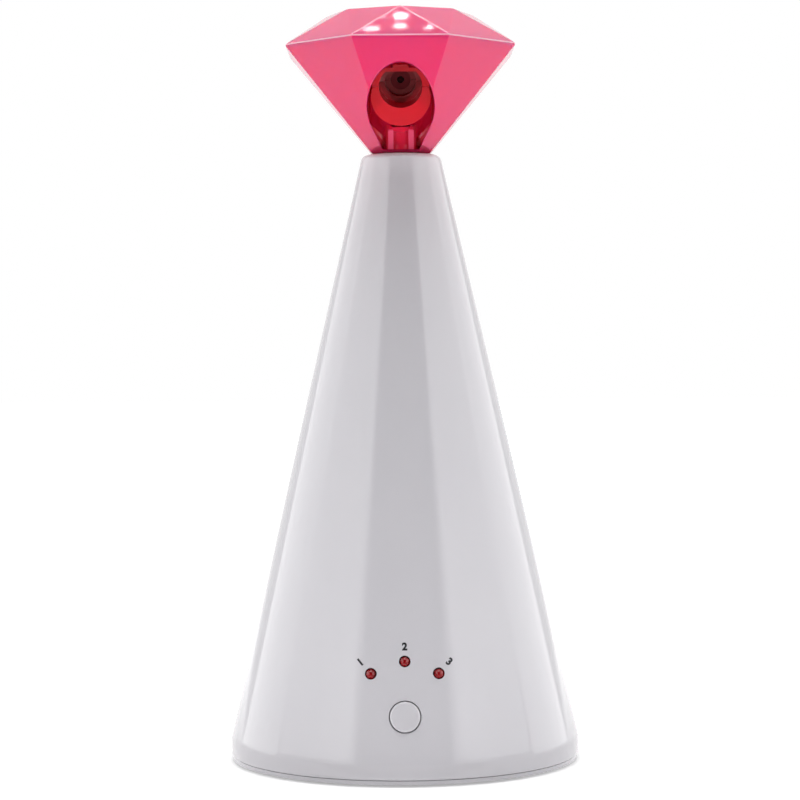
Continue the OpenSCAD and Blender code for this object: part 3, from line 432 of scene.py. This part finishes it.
def painted_girdle_highlight_mask(tree, place):
    """The crown's widest edge, with a pale line painted on as a highlight: z from the seam to
    GIRDLE_PALE.
    """
    height = axis_of(tree, place, "Z")
    over = reckon(tree, "GREATER_THAN", height, (SEAM_Z - PATCH_SLACK) * MM)
    under = reckon(tree, "LESS_THAN", height, (SEAM_Z + GIRDLE_PALE) * MM)
    return reckon(tree, "MULTIPLY", over, under)


def facet_swell(tree, place):
    """How the crown's front facet swells: height = 1 - min(d / SWELL_REACH, 1)^2, where d is the
    distance from the facet's middle."""
    out = length_of(tree, seen_from(tree, place, FACET_MID, (SWELL_REACH,) * 3))
    out = reckon(tree, "POWER", reckon(tree, "MINIMUM", out, 1.0), 2.0)
    return reckon(tree, "SUBTRACT", 1.0, out)


# --- Materials -----------------------------------------------------------------------------
# Each one's numbers: mottle across, roughness and its spread, wave across and deep
ABS_IOR = 1.54

# Moulded gloss ABS, polished mould: a clear sheen with a faint orange peel
white_abs = moulded("moulded gloss white ABS", "#DDDBE0", "#D9D7DD", 30, 0.11, 0.02, 6, 0.004, **{
    "IOR": ABS_IOR, "Coat Weight": 0.25, "Coat Roughness": 0.05,
})
# Moulded clear-tinted ABS: part of the light goes through, the rest scatters and comes out
# pinker. At the neck the crimson yoke's foot, seen through the wall, is painted on as a
# darker crimson shade
TINTED = {
    "IOR": ABS_IOR, "Subsurface Weight": 1.0, "Subsurface Radius": (1.0, 0.16, 0.3),
    "Subsurface Scale": 0.003,
}
pink_abs = moulded("moulded tinted pink ABS", "#FF3C7C", "#FC3878", 25, 0.12, 0.02, 9, 0.012,
                   ("#C0144C", painted_collar_shade_mask), **TINTED, **{"Transmission Weight": 0.25})
# The crown's top is the same plastic off a glossier mould, with a lighter pink painted on as light
# from above and a painted highlight along its widest edge; its front facet swells a little
crown_abs = moulded("moulded tinted pink ABS, high gloss", "#FF4488", "#FC4084",
                    25, 0.05, 0.01, 5, 0.008, ("#FFB6CC", painted_girdle_highlight_mask), (facet_swell, SWELL_H),
                    **TINTED, **{"Transmission Weight": 0.3})
# Moulded crimson ABS of the laser's barrel, with painted shade, a darker crimson, inside its tunnel
barrel_abs = moulded("moulded crimson ABS", "#D20822", "#C8061E", 12, 0.3, 0.04, 4, 0.005,
                     ("#9A0C1C", painted_tunnel_shade_mask), **{
    "IOR": ABS_IOR, "Subsurface Weight": 0.5, "Subsurface Radius": (1.0, 0.1, 0.12),
    "Subsurface Scale": 0.002,
})
# The same plastic on the yoke, with a paler pink painted on its ribs' fronts as a highlight
crimson_abs = moulded("moulded crimson ABS, ribbed", "#D81440", "#CE103A", 12, 0.3, 0.04, 4, 0.005,
                      ("#E04C70", painted_rib_highlight_mask), **{
    "IOR": ABS_IOR, "Subsurface Weight": 0.5, "Subsurface Radius": (1.0, 0.12, 0.2),
    "Subsurface Scale": 0.002,
})
# Moulded nylon, which is duller and warmer than ABS
nylon = moulded("moulded natural nylon", "#EFEADB", "#E6E0CE", 6, 0.45, 0.06, 1.5, 0.01, IOR=1.53)
# Moulded black plastic with the fine grain of a sparked mould
black_plastic = moulded("moulded black ABS, fine grain", "#26262A", "#2C2C31",
                        4, 0.5, 0.06, 0.4, 0.01, IOR=ABS_IOR)
# Grey ABS of the gearbox, off a plain mould: an even, low sheen
grey_abs = moulded("moulded grey ABS", "#D4D4D8", "#CCCCD2", 8, 0.35, 0.05, 2, 0.01, IOR=ABS_IOR)
# Plated steel, with the faint cloud that tumbling leaves
steel = moulded("zinc plated steel", "#C4C8CE", "#AEB3BA", 2, 0.3, 0.06, 0.6, 0.004, Metallic=1.0)
# Drawn brass, slightly tarnished
brass = moulded("drawn brass", "#D2AE5C", "#B8934A", 2, 0.28, 0.06, 0.5, 0.003, Metallic=1.0)
# Moulded rubber, matt and a little dusty
rubber = moulded("moulded black rubber", "#303034", "#3C3C40", 2, 0.75, 0.08, 0.5, 0.02, IOR=1.52)
# Tinted clear epoxy, cast as a lamp's lens: it takes in light and shines like glass
lamp_epoxy = moulded("cast tinted epoxy", "#C4101A", "#A80C16", 1.2, 0.06, 0.01, 1, 0.001, **{
    "IOR": 1.55, "Transmission Weight": 0.35,
})
# Glass-fibre laminate under green solder mask, which lies smooth over it
laminate = moulded("solder-masked laminate", "#2F6B45", "#2A6240",
                   1.5, 0.3, 0.05, 0.5, 0.01, IOR=1.5)
# Thin film shrunk round a cell: a soft gloss that ripples a little
sleeve = moulded("shrunk sleeve film", "#4C7A5A", "#467354", 8, 0.25, 0.04, 3, 0.01, IOR=1.5)
# Ground and polished glass of the laser's lens: deep and almost mirror smooth
lens_glass = moulded("polished filter glass", "#5C0810", "#52060E", 2, 0.03, 0.005, 2, 0.0005, **{
    "IOR": 1.52, "Transmission Weight": 0.9,
})
# Brass on the laser's tube: a dark metal, painted dark red as the reflection and shade of the red
# plastic round it
brass_painted_red_shade = moulded("brass, painted red reflection and shade", "#8A2C34", "#76242C",
                     2, 0.42, 0.06, 0.5, 0.003, Metallic=0.7)
# Pad-printed ink: dead flat and a little duller than the plastic under it
ink = moulded("pad printed ink", "#1E1D24", "#26252C", 0.6, 0.4, 0.05, 0.3, 0.002, IOR=1.5)

SLOT_FINISH = {
    "white_abs": white_abs, "pink_abs": pink_abs, "crimson_abs": crimson_abs, "nylon": nylon,
    "black_plastic": black_plastic, "steel": steel, "brass": brass, "rubber": rubber,
    "lamp_red": lamp_epoxy, "board": laminate, "cell_wrap": sleeve, "lens": lens_glass,
    "silver_abs": grey_abs,
}
for entry in frame["record"]["subparts"]:
    skin = frame["nodes"][entry["node"]].data.materials
    if skin:
        skin[0] = SLOT_FINISH[entry["material_slot"]]
    else:
        skin.append(SLOT_FINISH[entry["material_slot"]])


# --- Cone ----------------------------------------------------------------------------------
def cone_profile():
    """The shell's closed section: foot round, band, straight side, rolled edge, bearing seat,
    and the inner wall back down."""
    round_z = CONE_H - TOP_ROUND
    round_x = cone_r(round_z) - TOP_ROUND / math.cos(CONE_ANGLE)
    inner = WALL / math.cos(CONE_ANGLE)
    start = (BASE_R, BAND_TOP)
    end = (round_x + TOP_ROUND * math.cos(CONE_ANGLE), round_z + TOP_ROUND * math.sin(CONE_ANGLE))
    under = CONE_H - TOP_PLATE
    return np.concatenate([
        arc(BASE_R - FOOT_ROUND, SHELL_Z + FOOT_ROUND, FOOT_ROUND, -90, 0, 5),
        line((BASE_R, SHELL_Z + 2 * FOOT_ROUND), start, 4),
        line(start, end, 110),
        arc(round_x, round_z, TOP_ROUND, math.degrees(CONE_ANGLE), 90, 12),
        line((round_x - 0.4, CONE_H), (BUSH_R, CONE_H), 3),
        [(BUSH_R, CONE_H), (BUSH_R, under), (cone_r(under) - inner, under)],
        line((cone_r(under) - inner - 0.01, under - 0.5), (BASE_R - inner, BAND_TOP), 24),
        [(BASE_R - WALL, BAND_TOP), (BASE_R - WALL, SHELL_Z)],
    ])


def hole_cutter(name, x, y, r, lip, sides=72):
    """A turned plug in the panel's frame that flares by a small round where it leaves the cone."""
    flare = np.radians([0, 30, 60, 90])
    rows = np.concatenate([
        [(r, -CUT_IN)],
        np.stack([r + lip * (1 - np.cos(flare)), -lip + lip * np.sin(flare) + CUT_PROUD], -1),
        [(r + lip, CUT_OUT)],
    ])
    points = turned(rows, sides) + np.array([x, y, 0])
    return put_mesh(name, on_panel(points), capped(len(rows), sides))


def lamp_place(i):
    """Lamp i's place on the panel, in millimetres across and up."""
    return LAMP_ARC_R * math.sin(i * LAMP_STEP), LAMP_ARC_R * math.cos(i * LAMP_STEP)


def fall_away(x, y):
    """How far the round cone lies under the panel's flat at (x, y), along the panel's normal."""
    r = cone_r(BUTTON_Z + y * math.cos(CONE_ANGLE))
    return (r - math.sqrt(r * r - x * x)) * math.cos(CONE_ANGLE)


section = cone_profile()
cone = put_mesh("cone_skin", turned(section, CONE_SIDES),
                grid_faces(len(section), CONE_SIDES, close_rows=True))
holes = [hole_cutter("button_hole", 0, 0, BUTTON_HOLE_R, LIP)]
for i in CONTROLS:
    x, y = lamp_place(i)
    plug = hole_cutter(f"lamp_hole_{i}", x, y, LAMP_HOLE_R, LAMP_LIP, LAMP_SIDES)
    sunk = panel_matrix().to_3x3() @ Vector((0, 0, -fall_away(x, y)))
    plug.data.transform(Matrix.Translation(sunk * MM))
    holes.append(plug)
carve(cone, holes)
dress(cone, "housing", "white_abs", white_abs, "cone_shell")

# --- Button and lamps ----------------------------------------------------------------------
button_rows = np.concatenate([
    [(0.3, STALK_END), (STALK_R, STALK_END), (STALK_R, FLANGE_BACK)],
    [(FLANGE_R, FLANGE_BACK), (FLANGE_R, FLANGE_FRONT), (BUTTON_R, FLANGE_FRONT)],
    arc(BUTTON_R - BUTTON_EDGE, BUTTON_PROUD - BUTTON_EDGE, BUTTON_EDGE, 0, 90, 8),
    [(BUTTON_R * f, BUTTON_PROUD + BUTTON_CROWN * (1 - f * f) - 0.02)
     for f in (0.8, 0.6, 0.4, 0.2, 0.05)],
])
button = put_mesh("button_face", on_panel(turned(button_rows, 96)), capped(len(button_rows), 96))
dress(button, "button", "white_abs", white_abs, "button_cap")

lamp_rows = np.concatenate([
    [(0.2, LAMP_BACK), (LAMP_R + LAMP_RIM, LAMP_BACK)],
    [(LAMP_R + LAMP_RIM, LAMP_SEAT), (LAMP_R, LAMP_SEAT)],
    arc(0, LAMP_PROUD - LAMP_R, LAMP_R, 0, 86, 12),
])
domes = []
for i in CONTROLS:
    x, y = lamp_place(i)
    dome = turned(lamp_rows, LAMP_SIDES) + np.array([x, y, -fall_away(x, y)])
    domes.append((on_panel(dome), capped(len(lamp_rows), LAMP_SIDES)))
lamps = put_mesh("lamp_lenses", *joined(domes))
dress(lamps, "housing", "lamp_red", lamp_epoxy, "status_lamps")


# --- Numbers by the lamps ------------------------------------------------------------------
def on_cone(points):
    """Flat marks (x across, y up, z proud, in millimetres on the panel) wrapped on the cone:
    the point goes to the cone's surface at the same x and height, then out by z."""
    p = np.asarray(points, float)
    z = BUTTON_Z + p[:, 1] * math.cos(CONE_ANGLE)
    r = cone_r(z) + p[:, 2]
    x = p[:, 0]
    return np.stack([x, -np.sqrt(r * r - x * x), z], -1)


def in_order(points, faces):
    """The same mesh in a fixed order, which an extrusion doesn't keep from run to run: its points
    by x, y and z, its faces by their points, each from its lowest one."""
    order = np.lexsort(points.T[::-1])
    rank = np.argsort(order)
    faces = [rank[f].tolist() for f in faces]
    return points[order], sorted(f[f.index(min(f)):] + f[:f.index(min(f))] for f in faces)


def numeral(text):
    """A numeral as a closed flat mesh, centred, MARK_H tall, in millimetres."""
    curve = bpy.data.curves.new("numeral", "FONT")
    curve.body, curve.size, curve.offset = text, 1.0, MARK_WEIGHT
    curve.resolution_u = 6
    holder = put("numeral", curve)
    flat = result_of(holder)
    bpy.data.objects.remove(holder)
    shape = bmesh.new()
    shape.from_mesh(flat)
    bmesh.ops.remove_doubles(shape, verts=shape.verts, dist=1e-5)
    bmesh.ops.triangulate(shape, faces=shape.faces)
    risen = bmesh.ops.extrude_face_region(shape, geom=shape.faces[:])
    for v in risen["geom"]:
        if isinstance(v, bmesh.types.BMVert):
            v.co.z += 1
    bmesh.ops.recalc_face_normals(shape, faces=shape.faces)
    shape.verts.index_update()
    points = np.array([v.co[:] for v in shape.verts])
    faces = [[v.index for v in f.verts] for f in shape.faces]
    shape.free()
    points, faces = in_order(points, faces)
    low, high = points.min(0), points.max(0)
    points[:, :2] -= (low[:2] + high[:2]) / 2
    points[:, :2] *= MARK_H / (high[1] - low[1])
    points[:, 2] = np.where(points[:, 2] > 0.5, INK_H, 0.0)
    return points, faces


numbers = []
for i in CONTROLS:
    points, faces = numeral(str(i + 2))
    # Each number turns about the button with its lamp
    c, s = math.cos(-i * MARK_STEP), math.sin(-i * MARK_STEP)
    x, y = points[:, 0], points[:, 1] + MARK_ARC_R
    placed = np.stack([c * x - s * y, s * x + c * y, points[:, 2]], -1)
    numbers.append((on_cone(placed), faces))
marks = put_mesh("panel_marks", *joined(numbers))
dress(marks, "housing", "black_plastic", ink)


# --- Lower head ----------------------------------------------------------------------------
def octagon_ring(apothem, fillet):
    """A rounded octagon with a flat to the front: eight arcs about centres that lie on the
    corner lines, with the flats between their ends. Each flat is cut in FLAT_STEPS."""
    corner = (np.arange(8) * 45 + 22.5)[:, None]
    swing = np.linspace(-22.5, 22.5, CORNER_STEPS + 1)[None]
    centre = (apothem - fillet) * TO_CORNER
    t, a = np.radians(corner), np.radians(corner + swing)
    x = centre * np.cos(t) + fillet * np.cos(a)
    y = centre * np.sin(t) + fillet * np.sin(a)
    arcs = np.stack([x, y], -1)
    gap = np.roll(arcs[:, 0], -1, axis=0) - arcs[:, -1]
    cuts = np.linspace(1 / FLAT_STEPS, 1 - 1 / FLAT_STEPS, FLAT_STEPS - 1)[None, :, None]
    return np.concatenate([arcs, arcs[:, -1][:, None] + gap[:, None] * cuts], 1).reshape(-1, 2)


def octagon_rows(rows):
    """Rows of (apothem, fillet, height) as stacked rounded octagons."""
    count = 8 * (CORNER_STEPS + FLAT_STEPS)
    rings = [np.column_stack([octagon_ring(a, f), np.full(count, z)]) for a, f, z in rows]
    return np.concatenate(rings), capped(len(rows), count)


low_r, top_r = facet_r(HEAD_Z), HEAD_W / 2
wall_top = facet_r(SEAM_Z) - FACET_WALL
side_z = np.linspace(HEAD_Z + FOOT_EDGE, SEAM_Z - GIRDLE_EDGE - FOOT_EDGE, 24)
inside_z = np.linspace(SEAM_Z - 0.1, FLOOR_Z + 0.2, 20)
pavilion_rows = [
    (1.0, 0.2, HEAD_Z), (low_r - FOOT_EDGE, FACET_ROUND, HEAD_Z),
    *[(facet_r(z), FACET_ROUND, z) for z in side_z],
    # The widest edge, a short upright band whose corners are broken
    (top_r - 0.04, FACET_ROUND, SEAM_Z - GIRDLE_EDGE),
    (top_r, FACET_ROUND, SEAM_Z - GIRDLE_EDGE * 0.6),
    (top_r, FACET_ROUND, SEAM_Z - 0.04),
    (top_r - 0.03, FACET_ROUND, SEAM_Z),
    (wall_top + 0.1, FACET_ROUND, SEAM_Z),
    *[(facet_r(z) - FACET_WALL, FACET_ROUND, z) for z in inside_z],
    (facet_r(FLOOR_Z) - FACET_WALL - 0.3, FACET_ROUND, FLOOR_Z), (1.0, 0.2, FLOOR_Z),
]
pavilion = put_mesh("lower_head", *octagon_rows(pavilion_rows), sharp_deg=50)


def window_outline(grow, steps=48, side_steps=8):
    """The drop in a front view, grown outward by grow: an arch of half an ellipse that narrows
    like an egg, an ellipse under it as far as the tangent, then straight sides to the neck."""
    t = np.radians(np.linspace(-WINDOW_TURN, 180 + WINDOW_TURN, steps + 1))
    rise = np.where(np.sin(t) > 0, WINDOW_ARCH, WINDOW_UNDER)
    half = WINDOW_W / 2 * (1 - WINDOW_EGG * np.maximum(np.sin(t), 0))
    x, z = half * np.cos(t), WINDOW_MID + rise * np.sin(t)
    foot = np.array([(-WINDOW_FOOT_W / 2, FLOOR_Z), (WINDOW_FOOT_W / 2, FLOOR_Z)])
    left = line((x[-1], z[-1]), foot[0], side_steps)[1:]
    right = line(foot[1], (x[0], z[0]), side_steps)
    outline = np.concatenate([np.stack([x, z], -1), left, [foot[0]], right])
    along = np.roll(outline, -1, 0) - np.roll(outline, 1, 0)
    out = np.stack([along[:, 1], -along[:, 0]], -1)
    out /= np.linalg.norm(out, axis=1)[:, None]
    return outline + grow * out


def front_surface(x, z):
    """How far forward the lower head's outside lies at (x, z): the front facet, or the plane of
    the facet beside it where that is nearer."""
    a = facet_r(z)
    return -np.minimum(a, math.sqrt(2) * a - np.abs(x))


ring = window_outline(WINDOW_LIP)
cutter_rings = [np.column_stack([ring[:, 0], np.full(len(ring), WINDOW_CUT_Y), ring[:, 1]])]
for a in np.radians(np.linspace(0, 90, 6)):
    ring = window_outline(WINDOW_LIP * (1 - math.sin(a)))
    y = front_surface(ring[:, 0], ring[:, 1]) + WINDOW_LIP * (1 - math.cos(a))
    cutter_rings.append(np.column_stack([ring[:, 0], y, ring[:, 1]]))
cutter_rings.append(np.column_stack([ring[:, 0], np.zeros(len(ring)), ring[:, 1]]))
cutter = put_mesh("window_cutter", np.concatenate(cutter_rings),
                  capped(len(cutter_rings), len(ring)))
cutter_mesh = bmesh.new()
cutter_mesh.from_mesh(cutter.data)
bmesh.ops.recalc_face_normals(cutter_mesh, faces=cutter_mesh.faces)
cutter_mesh.to_mesh(cutter.data)
cutter_mesh.free()
carve(pavilion, [cutter], 40)
dress(pavilion, "head", "pink_abs", pink_abs, "head_shell")

journal_rows = [
    (BORE_R, STEM_Z), (JOURNAL_R - STEM_EDGE, STEM_Z), (JOURNAL_R, STEM_Z + STEM_EDGE),
    (JOURNAL_R, CLIP_Z), (GROOVE_R, CLIP_Z),
    (GROOVE_R, CLIP_Z + CLIP_T), (JOURNAL_R, CLIP_Z + CLIP_T),
    (JOURNAL_R, HEAD_Z + STEM_BURIED), (BORE_R, HEAD_Z + STEM_BURIED),
]
journal = put_mesh("head_journal", turned(journal_rows, 96),
                   grid_faces(len(journal_rows), 96, close_rows=True))
dress(journal, "head", "pink_abs", pink_abs, "head_shell")


# --- Rounded copies of the parts that show -------------------------------------------------
def crown_share(low, high):
    """The crown's creases are rounded in full, its widest edge less, and its lip hardly."""
    low, high = sorted((low, high))
    if low < SEAM_Z + GIRDLE_EDGE - 0.05:
        return 0.05
    return 0.5 if high < SEAM_Z + GIRDLE_EDGE + 0.05 else 1.0


dress(refined("head_crown", 0.55, share=crown_share), "head", "pink_abs", crown_abs, "head_crown")
for node, body, slot, finish, edge in (
    ("head_yoke", "head", "crimson_abs", crimson_abs, 0.2),
    ("laser_cradle", "laser", "crimson_abs", barrel_abs, 0.2),
    ("laser_hood", "laser", "crimson_abs", barrel_abs, 0.15),
    ("laser_module", "laser", "brass", brass_painted_red_shade, 0.08),
    ("base_cover", "housing", "white_abs", white_abs, 0.15),
    ("battery_door", "door", "white_abs", white_abs, 0.15),
):
    dress(refined(node, edge), body, slot, finish, node)

# --- Floor, world and camera ---------------------------------------------------------------
FLOOR_HALF = 6
PAPER_GLOW_NEAR, PAPER_GLOW_FAR = 0.35, 1.0
GLOW_FROM, GLOW_TO = 0.1, 0.8
STUDIO_LIGHT = 0.12


def shown_white(tree):
    """1 where a ray comes from the camera, a reflection or through clear plastic, else 0."""
    path = add(tree, "ShaderNodeLightPath").outputs
    either = reckon(tree, "MAXIMUM", path["Is Camera Ray"], path["Is Glossy Ray"])
    return reckon(tree, "MAXIMUM", either, path["Is Transmission Ray"])


floor_corners = np.array([(-1, -1, 0), (1, -1, 0), (1, 1, 0), (-1, 1, 0)]) * FLOOR_HALF / MM
floor = put_mesh("floor", floor_corners, [(0, 1, 2, 3)])
# The paper's own grey shows its shadows. A glow that only these rays see lifts it to white,
# in full far from the toy, where the lamps don't reach
paper = bpy.data.materials.new("white paper")
tree = bare_tree(paper)
matt = add(tree, "ShaderNodeBsdfDiffuse", {"Color": colour("#F6F6F6")})
away = length_of(tree, add(tree, "ShaderNodeTexCoord").outputs["Object"])
lift = add(tree, "ShaderNodeMapRange", {
    "From Min": GLOW_FROM, "From Max": GLOW_TO, "To Min": PAPER_GLOW_NEAR, "To Max": PAPER_GLOW_FAR,
}, {"Value": away}).outputs[0]
lift = reckon(tree, "MULTIPLY", lift, shown_white(tree))
glow = add(tree, "ShaderNodeEmission", {"Color": colour("#FFFFFF")}, {"Strength": lift})
both = add(tree, "ShaderNodeAddShader", links={0: matt.outputs[0], 1: glow.outputs[0]})
add(tree, "ShaderNodeOutputMaterial", links={"Surface": both.outputs[0]})
floor.data.materials.append(paper)

world = bpy.data.worlds.new("studio")
bpy.context.scene.world = world
tree = bare_tree(world)
dim = add(tree, "ShaderNodeBackground", {"Color": colour("#FFFFFF"), "Strength": STUDIO_LIGHT})
white = add(tree, "ShaderNodeBackground", {"Color": colour("#FFFFFF"), "Strength": 1.0})
both = add(tree, "ShaderNodeMixShader",
           links={0: shown_white(tree), 1: dim.outputs[0], 2: white.outputs[0]})
add(tree, "ShaderNodeOutputWorld", links={"Surface": both.outputs[0]})

LENS_MM = 106.7
SENSOR_MM = 36
CAMERA = Vector((-0.0009, -0.780, 0.1328))
PITCH = math.radians(-1.11)
ROLL = math.radians(-0.4)
camera_data = bpy.data.cameras.new("camera")
camera_data.lens = LENS_MM
camera_data.sensor_width = SENSOR_MM
camera = put("camera", camera_data)
camera.matrix_world = (
    Matrix.Translation(CAMERA)
    @ Matrix.Rotation(math.pi / 2 + PITCH, 4, "X")
    @ Matrix.Rotation(ROLL, 4, "Z")
)
bpy.context.scene.camera = camera

# --- Lamps ---------------------------------------------------------------------------------
SIDES = (("left", -1), ("right", 1))
SOFTBOX_AIM = 0.12
SNOOT_AIM = (HEAD_Z + 43) * MM
SNOOT_BEAM = 4.7
SPARK_Z, SPARK_RADIANCE = 1.188, 22
POOL_AT, POOL_BEAM = (0, -0.265, 1.2), 20


def place_lamp(name, light, azimuth, distance, height, aim_z):
    """Puts a lamp round the toy, aimed at its axis. Azimuth 0 is at the camera, positive right."""
    holder = put(name, light)
    a = math.radians(azimuth)
    holder.location = (distance * math.sin(a), -distance * math.cos(a), height)
    aim = Vector((0, 0, aim_z)) - holder.location
    holder.rotation_euler = aim.to_track_quat("-Z", "Y").to_euler()


def softbox(name, azimuth, distance, height, width, tall, radiance):
    """A soft lamp facing the toy's middle."""
    light = bpy.data.lights.new(name, "AREA")
    light.shape, light.size, light.size_y = "RECTANGLE", width, tall
    light.energy = math.pi * width * tall * radiance
    place_lamp(name, light, azimuth, distance, height, SOFTBOX_AIM)


def spot(name, power, beam_deg, blend):
    """A spot lamp's data: its power in watts, its beam's width and how soft the beam's edge is."""
    light = bpy.data.lights.new(name, "SPOT")
    light.energy, light.spot_size, light.spot_blend = power, math.radians(beam_deg), blend
    return light


# Two tall boxes leave a dark gap at the camera, which the gloss shows as a band down the cone
for side, sign in SIDES:
    softbox(side + "_box", sign * 63, 1.1, 0.46, 1.15, 0.7, 0.95)
# Two more behind them light the cone's flanks
for side, sign in SIDES:
    softbox(side + "_wall", sign * 112, 1.1, 0.36, 0.9, 1.1, 1.25)
# One overhead lights the paper, and so the head from below
softbox("top_box", 0, 0.25, 1.85, 1.2, 0.8, 4)
# A wide dim one behind, which the crown's side facets mirror in place of the white studio
softbox("back_fill", 180, 1.55, 1.9, 2.6, 1.25, 0.15)
# Narrow ones where the crown's creases mirror them
softbox("back_top", 180, 0.60, 1.3, 0.7, 0.16, 8)
softbox("front_top", 0, 0.68, 1.2, 0.8, 0.12, 6.5)
# Small ones that the crown's front facet mirrors as two spots, with smears beside them: each
# one's place across and back, its width and its depth
for i, (x, y, width, tall) in enumerate([
    (0.002, 0.297, 0.015, 0.014), (0.001, 0.267, 0.014, 0.011), (-0.033, 0.260, 0.019, 0.008),
    (-0.020, 0.300, 0.005, 0.012), (0.036, 0.263, 0.007, 0.011),
]):
    azimuth = math.degrees(math.atan2(x, -y))
    softbox(f"spark_{i}", azimuth, math.hypot(x, y), SPARK_Z, width, tall, SPARK_RADIANCE)
# A narrow lamp each side, whose beam takes in the head alone
for side, sign in SIDES:
    snoot = spot(side + "_snoot", 17, SNOOT_BEAM, 0.2)
    snoot.shadow_soft_size = 0.01
    place_lamp(side + "_snoot", snoot, sign * 40, 1.1, 0.27, SNOOT_AIM)
# A lamp straight down on the paper before the toy, whose bounce lights the cone's foot
pool = put("pool", spot("pool", 42, POOL_BEAM, 0.3))
pool.location = POOL_AT

# --- Cards ---------------------------------------------------------------------------------
WALL_CARD_Y, CARD_TOP = -1.7, 1.9
ON_PAPER = 0.0005


def flag(name, skin, corners, **seen_by):
    """A dark or grey card that reflections see and the camera doesn't."""
    card = put_mesh(name, np.array(corners) / MM, [(0, 1, 2, 3)])
    card.data.materials.append(skin)
    card.visible_camera = False
    for ray, seen in seen_by.items():
        setattr(card, "visible_" + ray, seen)


velvet = moulded("black flocked card", "#050505", "#080808", 20, 0.9, 0.05, 5, 0.1)
grey_card = moulded("grey card", "#989898", "#949494", 20, 0.9, 0.05, 5, 0.1)
flag("front_flag", velvet, [
    (-1.05, WALL_CARD_Y, 0), (1.05, WALL_CARD_Y, 0),
    (1.05, WALL_CARD_Y, CARD_TOP), (-1.05, WALL_CARD_Y, CARD_TOP),
])
flag("top_flag", velvet, [
    (-0.9, -1.0, CARD_TOP), (0.9, -1.0, CARD_TOP), (0.9, 0.45, CARD_TOP), (-0.9, 0.45, CARD_TOP),
])
# These lie on the paper in front of the toy, under the picture's edge, where the head's front
# and the barrel mirror them: where each starts and ends, and how wide it is there
for name, skin, near, far, w_near, w_far in (
    ("near_flag", grey_card, -0.07, -0.17, 0.11, 0.135),
    ("floor_flag", velvet, -0.17, -1.6, 0.135, 0.45),
):
    corners = [(-w_far, far), (w_far, far), (w_near, near), (-w_near, near)]
    flag(name, skin, [(*corner, ON_PAPER) for corner in corners],
         diffuse=False, shadow=False, transmission=False)

bpy.context.scene.view_settings.view_transform = "Standard"
